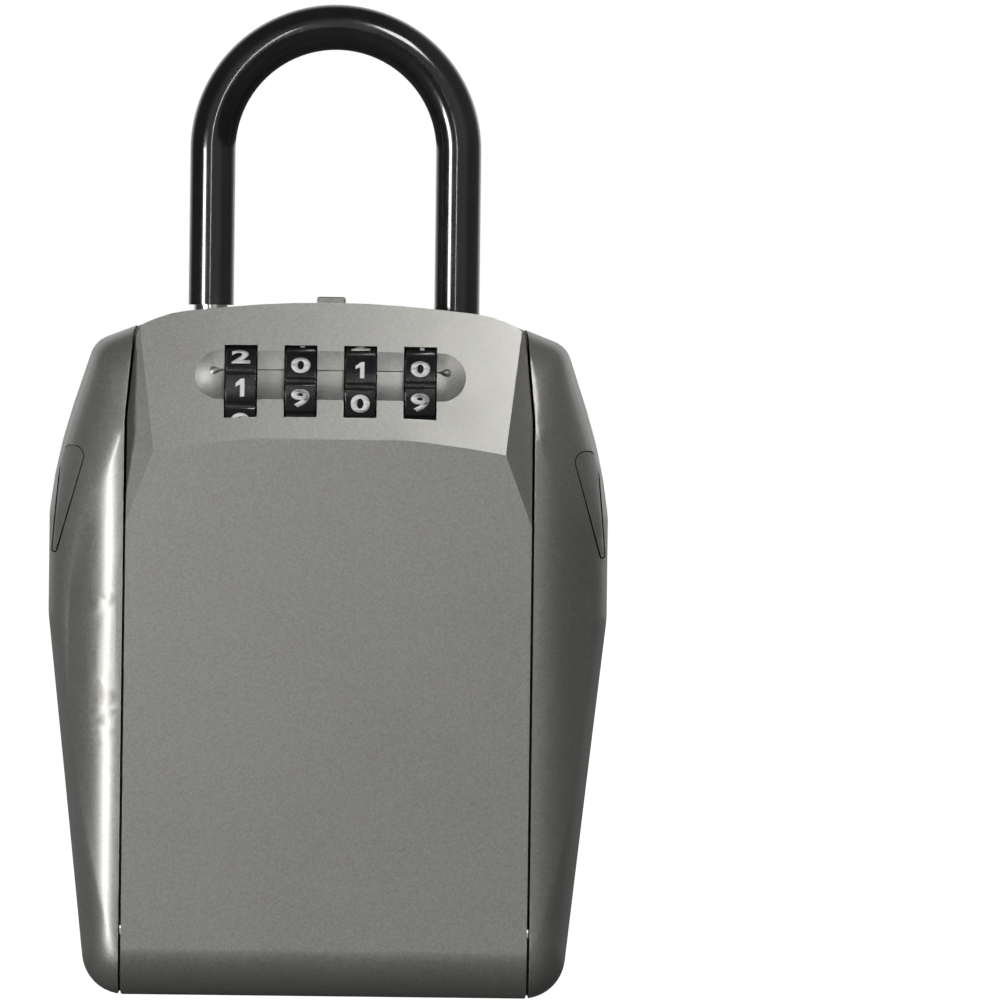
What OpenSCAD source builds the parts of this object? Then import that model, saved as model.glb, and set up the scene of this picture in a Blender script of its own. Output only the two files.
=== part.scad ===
// Portable combination key lock box: a winged metal case with a hinged door,
// four number dials, a push-down release tab and a shackle that locks into the top.
// Millimetres, +Z up, +X to the right seen from the front, the door faces -Y.
// The origin is the middle of the footprint on the surface that the box stands on.

/* [Body] */
// Width across the side wings
body_w = 105; // [96:1:130]
// Height of the body at the middle of its arched top
body_h = 130.2; // [126:0.2:160]
// Depth from the door panel to the flat back
body_d = 48; // [47:0.5:60]
// Width of each side wing beside the door
wing_w = 14.3; // [13:0.1:18]
// Radius along the lower front edge
base_r = 8; // [5:0.5:10]

/* [Case] */
// Thickness of the back wall
back_wall = 2.5; // [2:0.1:4]
// Thickness of the arched top wall
top_wall = 4; // [3.5:0.1:6]
// Height of the compartment floor
floor_z = 7; // [6:0.5:10]
// Width of the ledge that the closed door sits on
ledge_w = 7.2; // [5:0.1:9]
// Wall left around the pockets in the back of each wing
pocket_wall = 2.6; // [2:0.1:4]
// Width of the rib between the pockets
pocket_rib = 3; // [2:0.5:5]
// Wall left between the door's ledge and the pockets
pocket_front = 4; // [2.5:0.5:6]
// Width of the teardrop inlay at the shoulder of each wing
grip_w = 5; // [3.5:0.1:6]
// Height of the teardrop inlay
grip_h = 20; // [14:1:24]
// Depth of the pocket that the inlay sits in
grip_t = 2.6; // [2:0.1:3.4]

/* [Door] */
// Gap all round the door
door_gap = 0.5; // [0.4:0.05:0.8]
// Extra gap over the upper corners of the door, which rise as it starts to open
corner_rise_gap = 0.9; // [0.8:0.05:1.4]
// Thickness of the front panel
panel_t = 3; // [2:0.1:4]
// Thickness of the door's side walls
skirt_t = 3.4; // [2.5:0.1:4.5]
// Depth of the door beside the key compartment
skirt_d = 13; // [11:0.5:16]
// Depth of the door at its upper end, where the dials are
head_d = 28.1; // [27:0.1:30]
// Height of the dial face below the top of the body
face_h = 25; // [24:0.1:30]
// Lean of the dial face away from upright, in degrees
face_lean = 17; // [12:1:20]

/* [Dials] */
// Distance between neighbouring dials
dial_pitch = 11.2; // [10.6:0.1:12.5]
// Width of one dial
dial_w = 5.6; // [4.5:0.1:6]
// Radius of one dial
dial_r = 10.4; // [9:0.1:10.6]
// How far the dials stand proud of the dial face
dial_proud = 1.9; // [1:0.1:2.4]
// Diameter of the dial shaft
shaft_d = 4; // [3:0.1:5]
// Gap between a dial and the sides of its slot
slot_gap = 0.3; // [0.25:0.05:0.5]
// Turn of each dial at rest, in degrees, positive with the front moving down
dial_turns = [-7.1, 3.3, 8.2, 6.3]; // [-18:0.1:18]

/* [Latch] */
// Travel of the release tab and latch slider
latch_travel = 1.7; // [1.5:0.1:1.8]
// Width of the release tab
tab_w = 5.4; // [4:0.1:8]
// Height of the release tab above the top of the door
tab_proud = 1.5; // [1:0.1:1.7]
// Travel of the code reset lever
reset_travel = 3; // [2:0.5:3]

/* [Shackle] */
// Diameter of the steel bar
bar_d = 6.5; // [6:0.1:7]
// Outside diameter of the plastic sleeve
sleeve_d = 8.6; // [8:0.1:9.4]
// Distance from the end of the lock housing to each leg
leg_inset = 7.7; // [7:0.1:9]
// Sideways offset of the shackle from the middle of the body
shackle_shift = 0.5; // [-1:0.1:1]
// Height of the shackle above the body
shackle_h = 56.8; // [45:0.1:75]
// Length of the long leg below the lock housing
heel_drop = 40.8; // [38:0.1:50]
// Distance of the shackle from the flat back
shackle_back = 11; // [10.5:0.1:12]
// Travel of the shackle bolt and its release pin
bolt_travel = 2.2; // [2:0.1:2.4]

/* [Hinge] */
// Diameter of the hinge pin
pin_d = 3; // [2.5:0.1:3.4]
// Outside radius of the hinge knuckles
knuckle_r = 4; // [3.6:0.1:4.4]
// Height of the hinge axis
hinge_z = 5; // [4.8:0.1:5.4]
// Distance of the hinge axis behind the door panel
hinge_back = 16; // [15:0.5:17]

/* [Mounting] */
// Diameter of the wall screw holes
hole_d = 6.4; // [4:0.1:7]
// Spacing of the wall screw holes across
hole_dx = 40; // [30:1:44]
// Spacing of the wall screw holes up and down
hole_dz = 64; // [50:1:70]

/* [Hidden] */
$fn = 48;

// Colours
paint = [0.52, 0.53, 0.52];
bare_zinc = [0.72, 0.73, 0.74];
steel = [0.78, 0.78, 0.78];
vinyl = [0.03, 0.03, 0.03];
dial_black = [0.04, 0.04, 0.05];
brass = [0.75, 0.62, 0.33];

// Clearances
slide_gap = 0.2;      // flat faces that slide on each other
run_gap = 0.08;       // radial, a shaft or bar in its bore
seat_gap = 0.05;      // pieces that are fixed together
wheel_gap = 0.4;      // round the dials and cams, inside the door
past = 1;             // how far a cut runs past a face

// Planes and centres
half_w = body_w / 2;
front_y = -body_d / 2;
back_y = body_d / 2;
door_half = half_w - wing_w - door_gap / 2;
cavity_half = half_w - wing_w - ledge_w;
cavity_back = back_y - back_wall;
skirt_y = front_y + skirt_d;
head_y = front_y + head_d;
crease_z = body_h - face_h;
face_slope = tan(face_lean);
wing_set = 0.6;                      // the wings sit this far behind the door panel
step_z = crease_z - 15.2;            // where the ledge starts to bend back
hinge_y = front_y + hinge_back;
door_open = 98;                      // how far the door swings open, in degrees

// Lock housing, under the arched top
housing_z = body_h - 22.4;
housing_top = body_h - top_wall;
cover_t = 1.6;
cover_y = head_y + 1.3;
housing_y = cover_y + cover_t;
cover_top = housing_top - 3.2;
shackle_y = back_y - shackle_back;
heel_x = shackle_shift - (cavity_half - leg_inset);
toe_x = shackle_shift + (cavity_half - leg_inset);
bend_r = (toe_x - heel_x) / 2;
bend_z = body_h + shackle_h - sleeve_d / 2 - bend_r;
heel_end_z = housing_z - heel_drop;
collar_z = heel_end_z + 3;
collar_t = 2.6;
collar_d = bar_d + 1.9;

// Shackle bolt and its release pin
bolt_z = housing_z + 9.7;
bolt_h = 3.4;
bolt_head_h = 5.6;
bolt_head_l = 8;
notch_gap = 0.4;
toe_lip = 1.9;
bolt_w = 5.6;
bolt_bite = 2;
release_d = 1.8;
release_x = heel_x + 11.1;
release_proud = 6.7;
peg_z = bolt_z - 1.3;
lug_x = release_x + 15;
toe_end_z = bolt_z - bolt_h / 2 - notch_gap - toe_lip;

// Dials
dial_count = 4;
dial_z = body_h - 17.5;
face_y_at_dial = front_y + (dial_z - crease_z) * face_slope;
dial_y = face_y_at_dial + (dial_r - dial_proud) / cos(face_lean);
cam_r = 6;
hub_r = 4;
cam_x = dial_w / 2 + 0.4;
cam_w = 3.8;

// Door head
head_wall = 2.9;
head_floor_z = crease_z - 4.9;
head_half = door_half - 4.4;
head_top = body_h - 3.6;
plate_t = 1.6;
plate_back_y = head_y - 3.7;
plate_y = plate_back_y - plate_t;
screw_x = head_half - 5.5;

// Latch
slider_t = 1.4;
slider_y = plate_back_y + slide_gap + 0.1;
slider_half = screw_x - 5.5;
catch_lip = 2;
catch_top = housing_top + 2;
tooth_bite = 1;

// ---------- outlines ----------

function unit(v) = v / norm(v);

// One rounded corner c between its neighbours p and q
function corner_arc(p, c, q, r) = r <= 0 ? [c] :
    let (u = unit(p - c),
         v = unit(q - c),
         half = acos(u * v) / 2,
         mid = c + unit(u + v) * r / sin(half),
         start = c + u * r / tan(half) - mid,
         first = atan2(start[1], start[0]),
         turn = (180 - 2 * half) * sign(cross(c - p, q - c)),
         steps = max(2, ceil(abs(turn) / 10), ceil(abs(turn) * r / 400)))
    [for (i = [0:steps]) mid + r * [cos(first + turn * i / steps), sin(first + turn * i / steps)]];

// A closed outline from corners given as [across, up, radius]
function rounded(corners) =
    let (n = len(corners))
    [for (i = [0:n - 1])
        let (p = corners[(i + n - 1) % n], c = corners[i], q = corners[(i + 1) % n])
        each corner_arc([p[0], p[1]], [c[0], c[1]], [q[0], q[1]], c[2])];

// The right half of a symmetric outline, and its mirror image
function both_sides(half) =
    concat(half, [for (i = [len(half) - 1:-1:0]) if (half[i][0] > 0) [-half[i][0], half[i][1], half[i][2]]]);

// The body seen from the front: narrow base, wide shoulders, arched top
body_outline = rounded(both_sides([
    [half_w - 8, 0, 8],
    [half_w + 2.2, body_h - 39.2, 95],
    [half_w - 8.2, body_h - 7.7, 5],
    [half_w - 22.6, body_h - 2.1, 40],
    [0, body_h + 1.05, 190]]));

// The door seen from the front, grown by a gap
function door_outline(grow, rise, foot) = rounded(both_sides([
    [door_half + grow, foot, 0.5],
    [door_half + grow, crease_z + 3, 30],
    [door_half - 1.6 + grow, body_h - 4.9 + rise, 3.5],
    [half_w - 22.6, body_h - 2.2 + rise, 20],
    [0, body_h + 0.95 + rise, 190]]));

// The compartment and lock chamber seen from the front
function chamber_outline(inset, foot) = rounded(both_sides([
    [cavity_half - inset, foot, 2],
    [cavity_half - inset, housing_top - 2.6 - inset, 1.5],
    [0, housing_top + 1.2 - inset, 150]]));

// The front half of the side view, set back by some distance
function side_profile(set) = rounded([
    [front_y + set, 0, base_r],
    [back_y, 0, 1.5],
    [back_y, body_h + 2, 0],
    [front_y + set + (body_h + 2 - crease_z) * face_slope, body_h + 2, 0],
    [front_y + set, crease_z, 6]]);

// Prisms: an x-z outline drawn along Y, and a y-z outline drawn along X
module along_y(y0, y1) {
    translate([0, y1, 0]) rotate([90, 0, 0]) linear_extrude(y1 - y0) children();
}

module along_x(x0, x1) {
    translate([x0, 0, 0]) rotate([90, 0, 90]) linear_extrude(x1 - x0) children();
}

module block(x, y, z) {
    translate([x[0], y[0], z[0]]) cube([x[1] - x[0], y[1] - y[0], z[1] - z[0]]);
}

module rod_x(r, x0, x1, y, z) {
    translate([x0, y, z]) rotate([0, 90, 0]) cylinder(r = r, h = x1 - x0);
}

module rod_y(r, x, y0, y1, z) {
    translate([x, y1, z]) rotate([90, 0, 0]) cylinder(r = r, h = y1 - y0);
}

module rod_z(r, x, y, z0, z1) {
    translate([x, y, z0]) cylinder(r = r, h = z1 - z0);
}

// A coil of round wire about +Z from z = 0, with a straight leg along the tangent at each end
module coil(mean_r, wire_d, length, turns, sides = 8, per_turn = 18, legs = [0, 0]) {
    rings = turns * per_turn;
    function ring(i, along) =
        let (a = 360 * i / per_turn)
        [for (k = [0:sides - 1])
            let (b = 360 * k / sides,
                 r = mean_r + wire_d / 2 * cos(b))
            [r * cos(a) - along * sin(a),
             r * sin(a) + along * cos(a),
             wire_d / 2 + (length - wire_d) * i / rings + wire_d / 2 * sin(b)]];
    points = concat(
        legs[0] > 0 ? ring(0, -legs[0]) : [],
        [for (i = [0:rings]) each ring(i, 0)],
        legs[1] > 0 ? ring(rings, legs[1]) : []);
    last = len(points) / sides - 1;
    skin = [for (i = [0:last - 1], k = [0:sides - 1])
        let (m = (k + 1) % sides)
        each [[i * sides + k, (i + 1) * sides + k, (i + 1) * sides + m],
              [i * sides + k, (i + 1) * sides + m, i * sides + m]]];
    caps = [[for (k = [0:sides - 1]) k],
            [for (k = [sides - 1:-1:0]) last * sides + k]];
    polyhedron(points = points, faces = concat(skin, caps), convexity = 6);
}

// ---------- case ----------

// The front corners of the right wing seen from above, as [across, depth, radius]
wing_corners = [
    [door_half + 3.5, front_y + wing_set, 2],
    [half_w - 3.5, front_y + 6, 3],
    [half_w, front_y + 12, 5]];

// The solid outer form of the case, before anything is cut out of it
module case_form() {
    wing_plan = rounded(both_sides(concat(
        [[0, front_y + wing_set, 0]], wing_corners, [[half_w, back_y, 3], [0, back_y, 0]])));
    intersection() {
        along_y(front_y - past, back_y) polygon(body_outline);
        along_x(-half_w - past, half_w + past) polygon(side_profile(wing_set));
        translate([0, 0, -past]) linear_extrude(body_h + 2 * past) polygon(wing_plan);
    }
}

// The space that the closed door fills, with the gap round it
module door_recess() {
    ledge_profile = [
        [front_y - past, -past],
        [skirt_y + door_gap, -past],
        [skirt_y + door_gap, step_z],
        [head_y + door_gap - 0.2, step_z + head_y - skirt_y],
        [head_y + door_gap - 0.2, body_h + 3 * past],
        [front_y - past, body_h + 3 * past]];
    intersection() {
        along_y(front_y - past, back_y) polygon(door_outline(door_gap, corner_rise_gap, -3 * past));
        along_x(-half_w, half_w) polygon(ledge_profile);
    }
}

// The teardrop outline on the front of the right wing, in x and z, shrunk by a gap
function grip_outline(inset) =
    let (x = half_w - 2.2 - grip_w, z = crease_z - 2.4)
    rounded([
        [x + inset, z - inset, 2.2 - inset],
        [x + grip_w + 0.1 - inset, z + 0.3 - inset, 2.2 - inset],
        [half_w - 0.4 - inset, z - grip_h + inset, 0.5 - inset],
        [half_w - 1.5 + inset, z - grip_h - 0.2 + inset, 0.5 - inset]]);

// The floor of the inlay's pocket: a point of it seen from above, and how steeply it slants
grip_floor = [half_w - 4.5, front_y + 7.9 + grip_t];
grip_slant = 48;

// The pocket for the inlay: its outline in front of the slanted floor
module grip_pocket(side) {
    mirror([side > 0 ? 0 : 1, 0, 0]) intersection() {
        along_y(front_y, back_y) polygon(grip_outline(0));
        translate([grip_floor[0], grip_floor[1], 0]) rotate([0, 0, grip_slant])
            block([-half_w, half_w], [-half_w, 0], [0, body_h]);
    }
}

// The open pockets in the back of one wing
module wing_pockets(side) {
    inner = cavity_half + 2.6;
    middle_z = body_h * 0.46;
    lower = rounded([
        [inner, floor_z + 4, 1.5],
        [half_w - 8 - 1.2 * pocket_wall, floor_z + 4, 1.5],
        [half_w - 4 - 1.2 * pocket_wall, middle_z - pocket_rib / 2, 1.5],
        [inner, middle_z - pocket_rib / 2, 1.5]]);
    upper = rounded([
        [inner, middle_z + pocket_rib / 2, 1.5],
        [half_w - 4 - 1.2 * pocket_wall, middle_z + pocket_rib / 2, 1.5],
        [half_w - 5.6 - pocket_wall, crease_z - 4, 3],
        [half_w - 12, body_h - 13, 3],
        [inner, body_h - 13, 1.5]]);
    // behind the ledge, which bends back beside the lock
    front = [
        [skirt_y + pocket_front, -past],
        [skirt_y + pocket_front, step_z - 1],
        [head_y + pocket_front, step_z - 1 + head_y - skirt_y],
        [head_y + pocket_front, body_h + past],
        [back_y + past, body_h + past],
        [back_y + past, -past]];
    mirror([side > 0 ? 0 : 1, 0, 0]) intersection() {
        along_y(skirt_y, back_y + past) {
            polygon(lower);
            polygon(upper);
        }
        along_x(0, half_w + past) polygon(front);
    }
}

module mounting_holes() {
    hole_top = housing_z - 6.8;
    for (sx = [-1, 1], z = [hole_top, hole_top - hole_dz])
        rod_y(hole_d / 2, sx * hole_dx / 2, cavity_back - past, back_y + past, z);
}

// Knuckles of the case half of the hinge, as [from, to] along X
case_knuckles = [[-19.6, -11.9], [-4.9, 4.9], [11.9, 19.6]];

module case_knuckle(span) {
    rod_x(knuckle_r, span[0], span[1], hinge_y, hinge_z);
    block(span, [hinge_y, hinge_y + 2 * knuckle_r + 1.5], [hinge_z - knuckle_r + 0.4, floor_z]);
}

module case_shell() {
    sweep_r = max(norm([skirt_y - hinge_y, hinge_z]), hinge_z / cos(door_open / 2)) + 0.5;
    color(paint) difference() {
        union() {
            difference() {
                case_form();
                door_recess();
                // room for the door's lower edge as it swings under the case
                rod_x(sweep_r, -door_half - door_gap, door_half + door_gap, hinge_y, hinge_z);
            }
            for (span = case_knuckles)
                case_knuckle(span);
        }
        // compartment and lock chamber
        difference() {
            along_y(front_y, cavity_back) polygon(chamber_outline(0, floor_z));
            block([-half_w, half_w], [front_y - past, hinge_y + knuckle_r + 0.4], [-past, floor_z + 4]);
        }
        // pocket behind the catch lip
        block([-tab_w - 1.6, tab_w + 1.6], [head_y + 0.3 + catch_lip, housing_y + 3.4], [housing_z, catch_top]);
        // shackle bores, with a seat for the end of the sleeve on the toe side
        rod_z(bar_d / 2 + run_gap, heel_x, shackle_y, housing_z, body_h + past);
        rod_z(bar_d / 2 + run_gap, toe_x, shackle_y, housing_z, body_h + past);
        rod_z(sleeve_d / 2 + 0.4, toe_x, shackle_y, body_h - 3.2, body_h + past);
        rod_x(pin_d / 2 + seat_gap, -door_half, door_half, hinge_y, hinge_z);
        mounting_holes();
        for (side = [-1, 1]) {
            wing_pockets(side);
            grip_pocket(side);
        }
    }
}

// Flush with the wing in front and seated on the slanted floor behind
module side_grip(side) {
    front = front_y + wing_set;
    seat = grip_floor[1] - seat_gap;
    slice = rounded(concat(
        [[grip_floor[0] - (seat - front) / tan(grip_slant), front, 0]],
        wing_corners,
        [[half_w, seat + (half_w - grip_floor[0]) * tan(grip_slant), 0]]));
    color(paint) mirror([side > 0 ? 0 : 1, 0, 0]) intersection() {
        along_y(front_y, back_y) polygon(grip_outline(0.25));
        linear_extrude(body_h) polygon(slice);
    }
}

module side_grip_left() side_grip(-1);

module side_grip_right() side_grip(1);

// ---------- lock in the top of the case ----------

module lock_housing() {
    channel_x0 = release_x - 2.5 - bolt_travel - 0.3;
    color(bare_zinc) difference() {
        along_y(housing_y, cavity_back - seat_gap) polygon(chamber_outline(0.1, housing_z));
        // clear of the latch tooth
        block([-tab_w - 1.6, tab_w + 1.6], [housing_y - past, housing_y + 3.4], [cover_top - 1.2, body_h]);
        for (x = [heel_x, toe_x])
            rod_z(bar_d / 2 + run_gap, x, shackle_y, housing_z - past, body_h);
        // channel for the bolt, open to the toe leg
        block([channel_x0, toe_x], [shackle_y - bolt_w / 2 - slide_gap, shackle_y + bolt_w / 2 + slide_gap],
            [bolt_z - bolt_head_h / 2 - slide_gap, bolt_z + bolt_head_h / 2 + slide_gap]);
        // channel for the bolt spring and its lug
        block([lug_x - 11, lug_x + 2.4], [shackle_y - 1.7, shackle_y + 1.7],
            [bolt_z, bolt_z + bolt_head_h / 2 + 3.3]);
        // shaft for the release pin and its side plate
        block([release_x - 1.3, release_x + 1.3], [housing_y + 1.3, shackle_y + 1.3], [housing_z + 1.2, bolt_z + 4.6]);
        rod_z(release_d / 2 + run_gap, release_x, shackle_y, housing_z - past, housing_z + 2);
        for (x = rivet_places)
            rod_y(rivet_r + seat_gap, x, housing_y - past, housing_y + 2.9, rivet_z);
    }
}

rivet_r = 1.1;
rivet_z = housing_z + 5.7;
rivet_places = [release_x - 2.6, -(release_x - 2.6)];

module lock_cover() {
    outline = rounded(both_sides([
        [cavity_half - 0.2, housing_z, 0.6],
        [cavity_half - 0.2, cover_top - 3, 1],
        [0, cover_top + 1.5, 140]]));
    color(paint) difference() {
        along_y(cover_y, housing_y) polygon(outline);
        for (x = rivet_places)
            rod_y(rivet_r + seat_gap, x, cover_y - past, housing_y + past, rivet_z);
        for (x = rivet_places)
            rod_y(2.3, x, cover_y - past, cover_y + 0.7, rivet_z);
    }
}

module cover_rivets() {
    color(paint) for (x = rivet_places) {
        rod_y(rivet_r, x, cover_y + 0.6, housing_y + 2.8, rivet_z);
        rod_y(2.2, x, cover_y + 0.1, cover_y + 0.7, rivet_z);
    }
}

module shackle_bolt() {
    tip_x = toe_x - bar_d / 2 + bolt_bite;
    slot_r = release_d / 2 + 0.15;
    low = [release_x, peg_z];
    high = [release_x + bolt_travel, peg_z + bolt_travel];
    y0 = shackle_y - bolt_w / 2;
    y1 = shackle_y + bolt_w / 2;
    color(steel) difference() {
        union() {
            block([release_x - 2.5, tip_x], [y0, y1], [bolt_z - bolt_h / 2, bolt_z + bolt_h / 2]);
            block([release_x - 2.5, release_x - 2.5 + bolt_head_l], [y0, y1],
                [bolt_z - bolt_head_h / 2, bolt_z + bolt_head_h / 2]);
            block([lug_x, lug_x + 2], [shackle_y - 1.4, shackle_y + 1.4], [bolt_z, bolt_z + bolt_head_h / 2 + 3]);
        }
        // slanted slot that turns the pin's rise into the bolt's draw
        rod_y(slot_r, low[0], y0 - past, y1 + past, low[1]);
        rod_y(slot_r, high[0], y0 - past, y1 + past, high[1]);
        translate([low[0], 0, low[1]]) rotate([0, -45, 0])
            block([0, bolt_travel * sqrt(2)], [y0 - past, y1 + past], [-slot_r, slot_r]);
    }
}

module bolt_spring() {
    length = 9.6;
    color(steel) translate([lug_x - length - 0.3, shackle_y, bolt_z + bolt_head_h / 2 + 1.7])
        rotate([0, 90, 0]) coil(1, 0.4, length, 7, 6, 14);
}

module release_pin() {
    plate_front = housing_y + 1.6;
    color(steel) {
        rod_z(release_d / 2, release_x, shackle_y, housing_z - release_proud, housing_z + 3);
        block([release_x - 1.1, release_x + 1.1], [plate_front, shackle_y + 1], [housing_z + 1.8, housing_z + 3.4]);
        block([release_x - 1.1, release_x + 1.1], [plate_front, shackle_y - bolt_w / 2 - slide_gap],
            [housing_z + 1.8, peg_z + release_d / 2]);
        rod_y(release_d / 2, release_x, plate_front, shackle_y + bolt_w / 2, peg_z);
    }
}

// ---------- shackle ----------

module shackle_arch() {
    translate([shackle_shift, shackle_y, bend_z]) rotate([90, 0, 0])
        rotate_extrude(angle = 180) translate([bend_r, 0]) children();
}

module shackle_bar() {
    groove_z = collar_z;
    color(steel) difference() {
        union() {
            shackle_arch() circle(r = bar_d / 2);
            rod_z(bar_d / 2, heel_x, shackle_y, heel_end_z, bend_z);
            rod_z(bar_d / 2, toe_x, shackle_y, toe_end_z, bend_z);
        }
        // notch for the bolt
        block([toe_x - bar_d, toe_x - bar_d / 2 + bolt_bite + 0.3], [shackle_y - bar_d, shackle_y + bar_d],
            [bolt_z - bolt_h / 2 - notch_gap, bolt_z + bolt_h / 2 + notch_gap]);
        // groove for the collar
        difference() {
            rod_z(bar_d, heel_x, shackle_y, groove_z, groove_z + collar_t);
            rod_z(bar_d / 2 - 0.9, heel_x, shackle_y, groove_z - past, groove_z + collar_t + past);
        }
    }
}

module sleeve_section() {
    difference() {
        circle(r = sleeve_d / 2);
        circle(r = bar_d / 2 + seat_gap);
    }
}

module shackle_sleeve() {
    color(vinyl) {
        shackle_arch() sleeve_section();
        for (leg = [[heel_x, body_h - 0.4], [toe_x, body_h - 2.9]])
            translate([leg[0], shackle_y, leg[1]]) linear_extrude(bend_z - leg[1]) sleeve_section();
    }
}

module retaining_collar() {
    color(steel) difference() {
        rod_z(collar_d / 2, heel_x, shackle_y, collar_z + seat_gap, collar_z + collar_t - seat_gap);
        rod_z(bar_d / 2 - 0.9 + seat_gap, heel_x, shackle_y, collar_z - past, collar_z + collar_t + past);
    }
}

// ---------- hinge ----------

module hinge_pin() {
    color(steel) rod_x(pin_d / 2, -door_half + 3.5, door_half - 3.5, hinge_y, hinge_z);
}

module hinge_spring(side) {
    x0 = 5.4;
    x1 = 11.4;
    // one leg lies on the case floor, the other reaches the door panel
    floor_leg = knuckle_r + 4;
    panel_leg = hinge_back - panel_t - 0.2;
    mirror([side > 0 ? 0 : 1, 0, 0]) color(steel)
        translate([x0, hinge_y, hinge_z]) rotate([0, 90, 0]) rotate([0, 0, 180])
            coil(pin_d / 2 + 0.9, 0.7, x1 - x0, 5, 6, 16, [floor_leg, panel_leg]);
}

module hinge_spring_left() hinge_spring(-1);

module hinge_spring_right() hinge_spring(1);

// ---------- door ----------

// Everything in front of the two slanted facets at the upper corners of the panel
module corner_facets() {
    rise = 0.236;
    spread = 0.625;
    reach = body_h;
    for (side = [-1, 1])
        mirror([side > 0 ? 0 : 1, 0, 0])
            translate([door_half, front_y, crease_z - 16.6])
                rotate([-atan(rise / norm([1, spread])), 0, atan(spread)])
                    block([-reach, reach], [-reach, 0], [-reach, reach]);
}

// The raised pad round the dials
module dial_pad() {
    outline = rounded(both_sides([
        [door_half - 0.6, crease_z - 3.4, 1.8],
        [door_half - 0.6, crease_z + 2.8, 20],
        [door_half - 4.6, body_h - 5, 6],
        [0, body_h + 1, 190]]));
    intersection() {
        along_y(front_y, head_y) polygon(outline);
        along_x(-half_w, half_w) polygon(side_profile(0.05));
        along_y(front_y, head_y) polygon(door_outline(0, 0, 0));
    }
}

module door_form() {
    head_profile = [
        [front_y - past, -past],
        [skirt_y, -past],
        [skirt_y, step_z],
        [head_y, step_z + head_y - skirt_y],
        [head_y, body_h + 3 * past],
        [front_y - past, body_h + 3 * past]];
    union() {
        difference() {
            intersection() {
                along_y(front_y - past, back_y) polygon(door_outline(0, 0, 0));
                along_x(-half_w, half_w) polygon(side_profile(0));
                along_x(-half_w, half_w) polygon(head_profile);
            }
            corner_facets();
        }
        dial_pad();
    }
}

function dial_x(i) = (i - (dial_count + 1) / 2) * dial_pitch;

// Cheeks of the door half of the hinge, as [from, to] along X
cheek = [20, door_half - 3.2];
panel_ribs = [-31, -11, 9, 30];

module door_shell() {
    inner_half = door_half - skirt_t;
    face_top_y = front_y + (body_h - crease_z) * face_slope;
    pad_profile = [
        [front_y + head_wall, head_floor_z],
        [head_y + past, head_floor_z],
        [head_y + past, body_h],
        [face_top_y + head_wall + 0.4, body_h],
        [front_y + head_wall + 0.4, crease_z]];
    head_outline = rounded(both_sides([
        [head_half, head_floor_z, 2],
        [head_half, head_top - 4.2, 4],
        [0, head_top + 0.9, 80]]));
    color(paint) difference() {
        union() {
            difference() {
                door_form();
                // shallow inside beside the key compartment
                block([-inner_half, inner_half], [front_y + panel_t, head_y + past],
                    [panel_t, head_floor_z - 3]);
                // deep inside behind the dials
                intersection() {
                    along_y(front_y, head_y + past) polygon(head_outline);
                    along_x(-half_w, half_w) polygon(pad_profile);
                }
                // clear of the case knuckles
                block([-cheek[0], cheek[0]], [hinge_y - knuckle_r - 0.5, head_y], [-past, hinge_z + knuckle_r + 0.5]);
            }
            for (side = [-1, 1])
                mirror([side > 0 ? 0 : 1, 0, 0]) {
                    rod_x(knuckle_r, cheek[0] + 0.3, cheek[1], hinge_y, hinge_z);
                    block([cheek[0] + 0.3, cheek[1]], [front_y + panel_t - 0.5, hinge_y],
                        [hinge_z - knuckle_r, hinge_z + knuckle_r]);
                }
            for (x = panel_ribs)
                block([x - 1, x + 1], [front_y + panel_t - 0.5, front_y + panel_t + 5],
                    [hinge_z + knuckle_r + 1, head_floor_z - 2.5]);
            for (z = [hinge_z + knuckle_r + 9, head_floor_z * 0.55])
                block([-inner_half - 0.5, inner_half + 0.5], [front_y + panel_t - 0.5, front_y + panel_t + 3.5],
                    [z, z + 2]);
            // screw bosses for the mechanism cover
            intersection() {
                for (sx = [-1, 1], z = screw_rows)
                    rod_y(2.8, sx * screw_x, front_y, plate_y, z);
                door_form();
            }
        }
        for (i = [1:dial_count]) {
            dial_slot(dial_x(i));
            // room behind the face for the wheel and its cam
            rod_x(dial_r + wheel_gap, dial_x(i) - dial_w / 2 - slot_gap, dial_x(i) + dial_w / 2 + slot_gap, dial_y, dial_z);
            rod_x(cam_r + wheel_gap, dial_x(i) + cam_x - wheel_gap, dial_x(i) + cam_x + cam_w + wheel_gap, dial_y, dial_z);
        }
        rod_x(pin_d / 2 + run_gap, -door_half - past, door_half + past, hinge_y, hinge_z);
        rod_x(shaft_d / 2 + seat_gap, -head_half - 2, head_half + 2, dial_y, dial_z);
        for (sx = [-1, 1], z = screw_rows)
            rod_y(screw_r, sx * screw_x, plate_y - 6, plate_y + past, z);
        // slot for the release tab
        block([-tab_w / 2 - 0.25, tab_w / 2 + 0.25], [tab_y - 0.25, head_y - 1.4], [head_top - 4, body_h + past]);
        // shallow trough across the dials
        translate([0, face_y_at_dial, dial_z]) rotate([-face_lean, 0, 0])
            rod_x(14, -23.2, 23.2, -13.3, 3.9);
    }
}

screw_r = 1.1;
screw_rows = [head_floor_z + 3.4, dial_z + 7];
tab_y = slider_y - 2.2;

module dial_slot(x) {
    reach = dial_r - dial_proud;
    half_slot = dial_w / 2 + slot_gap;
    translate([x, dial_y, dial_z]) rotate([-face_lean, 0, 0])
        block([-half_slot, half_slot], [-dial_r - 6, -reach + head_wall + 2.5], [-6.9, 7.2]);
}

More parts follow.
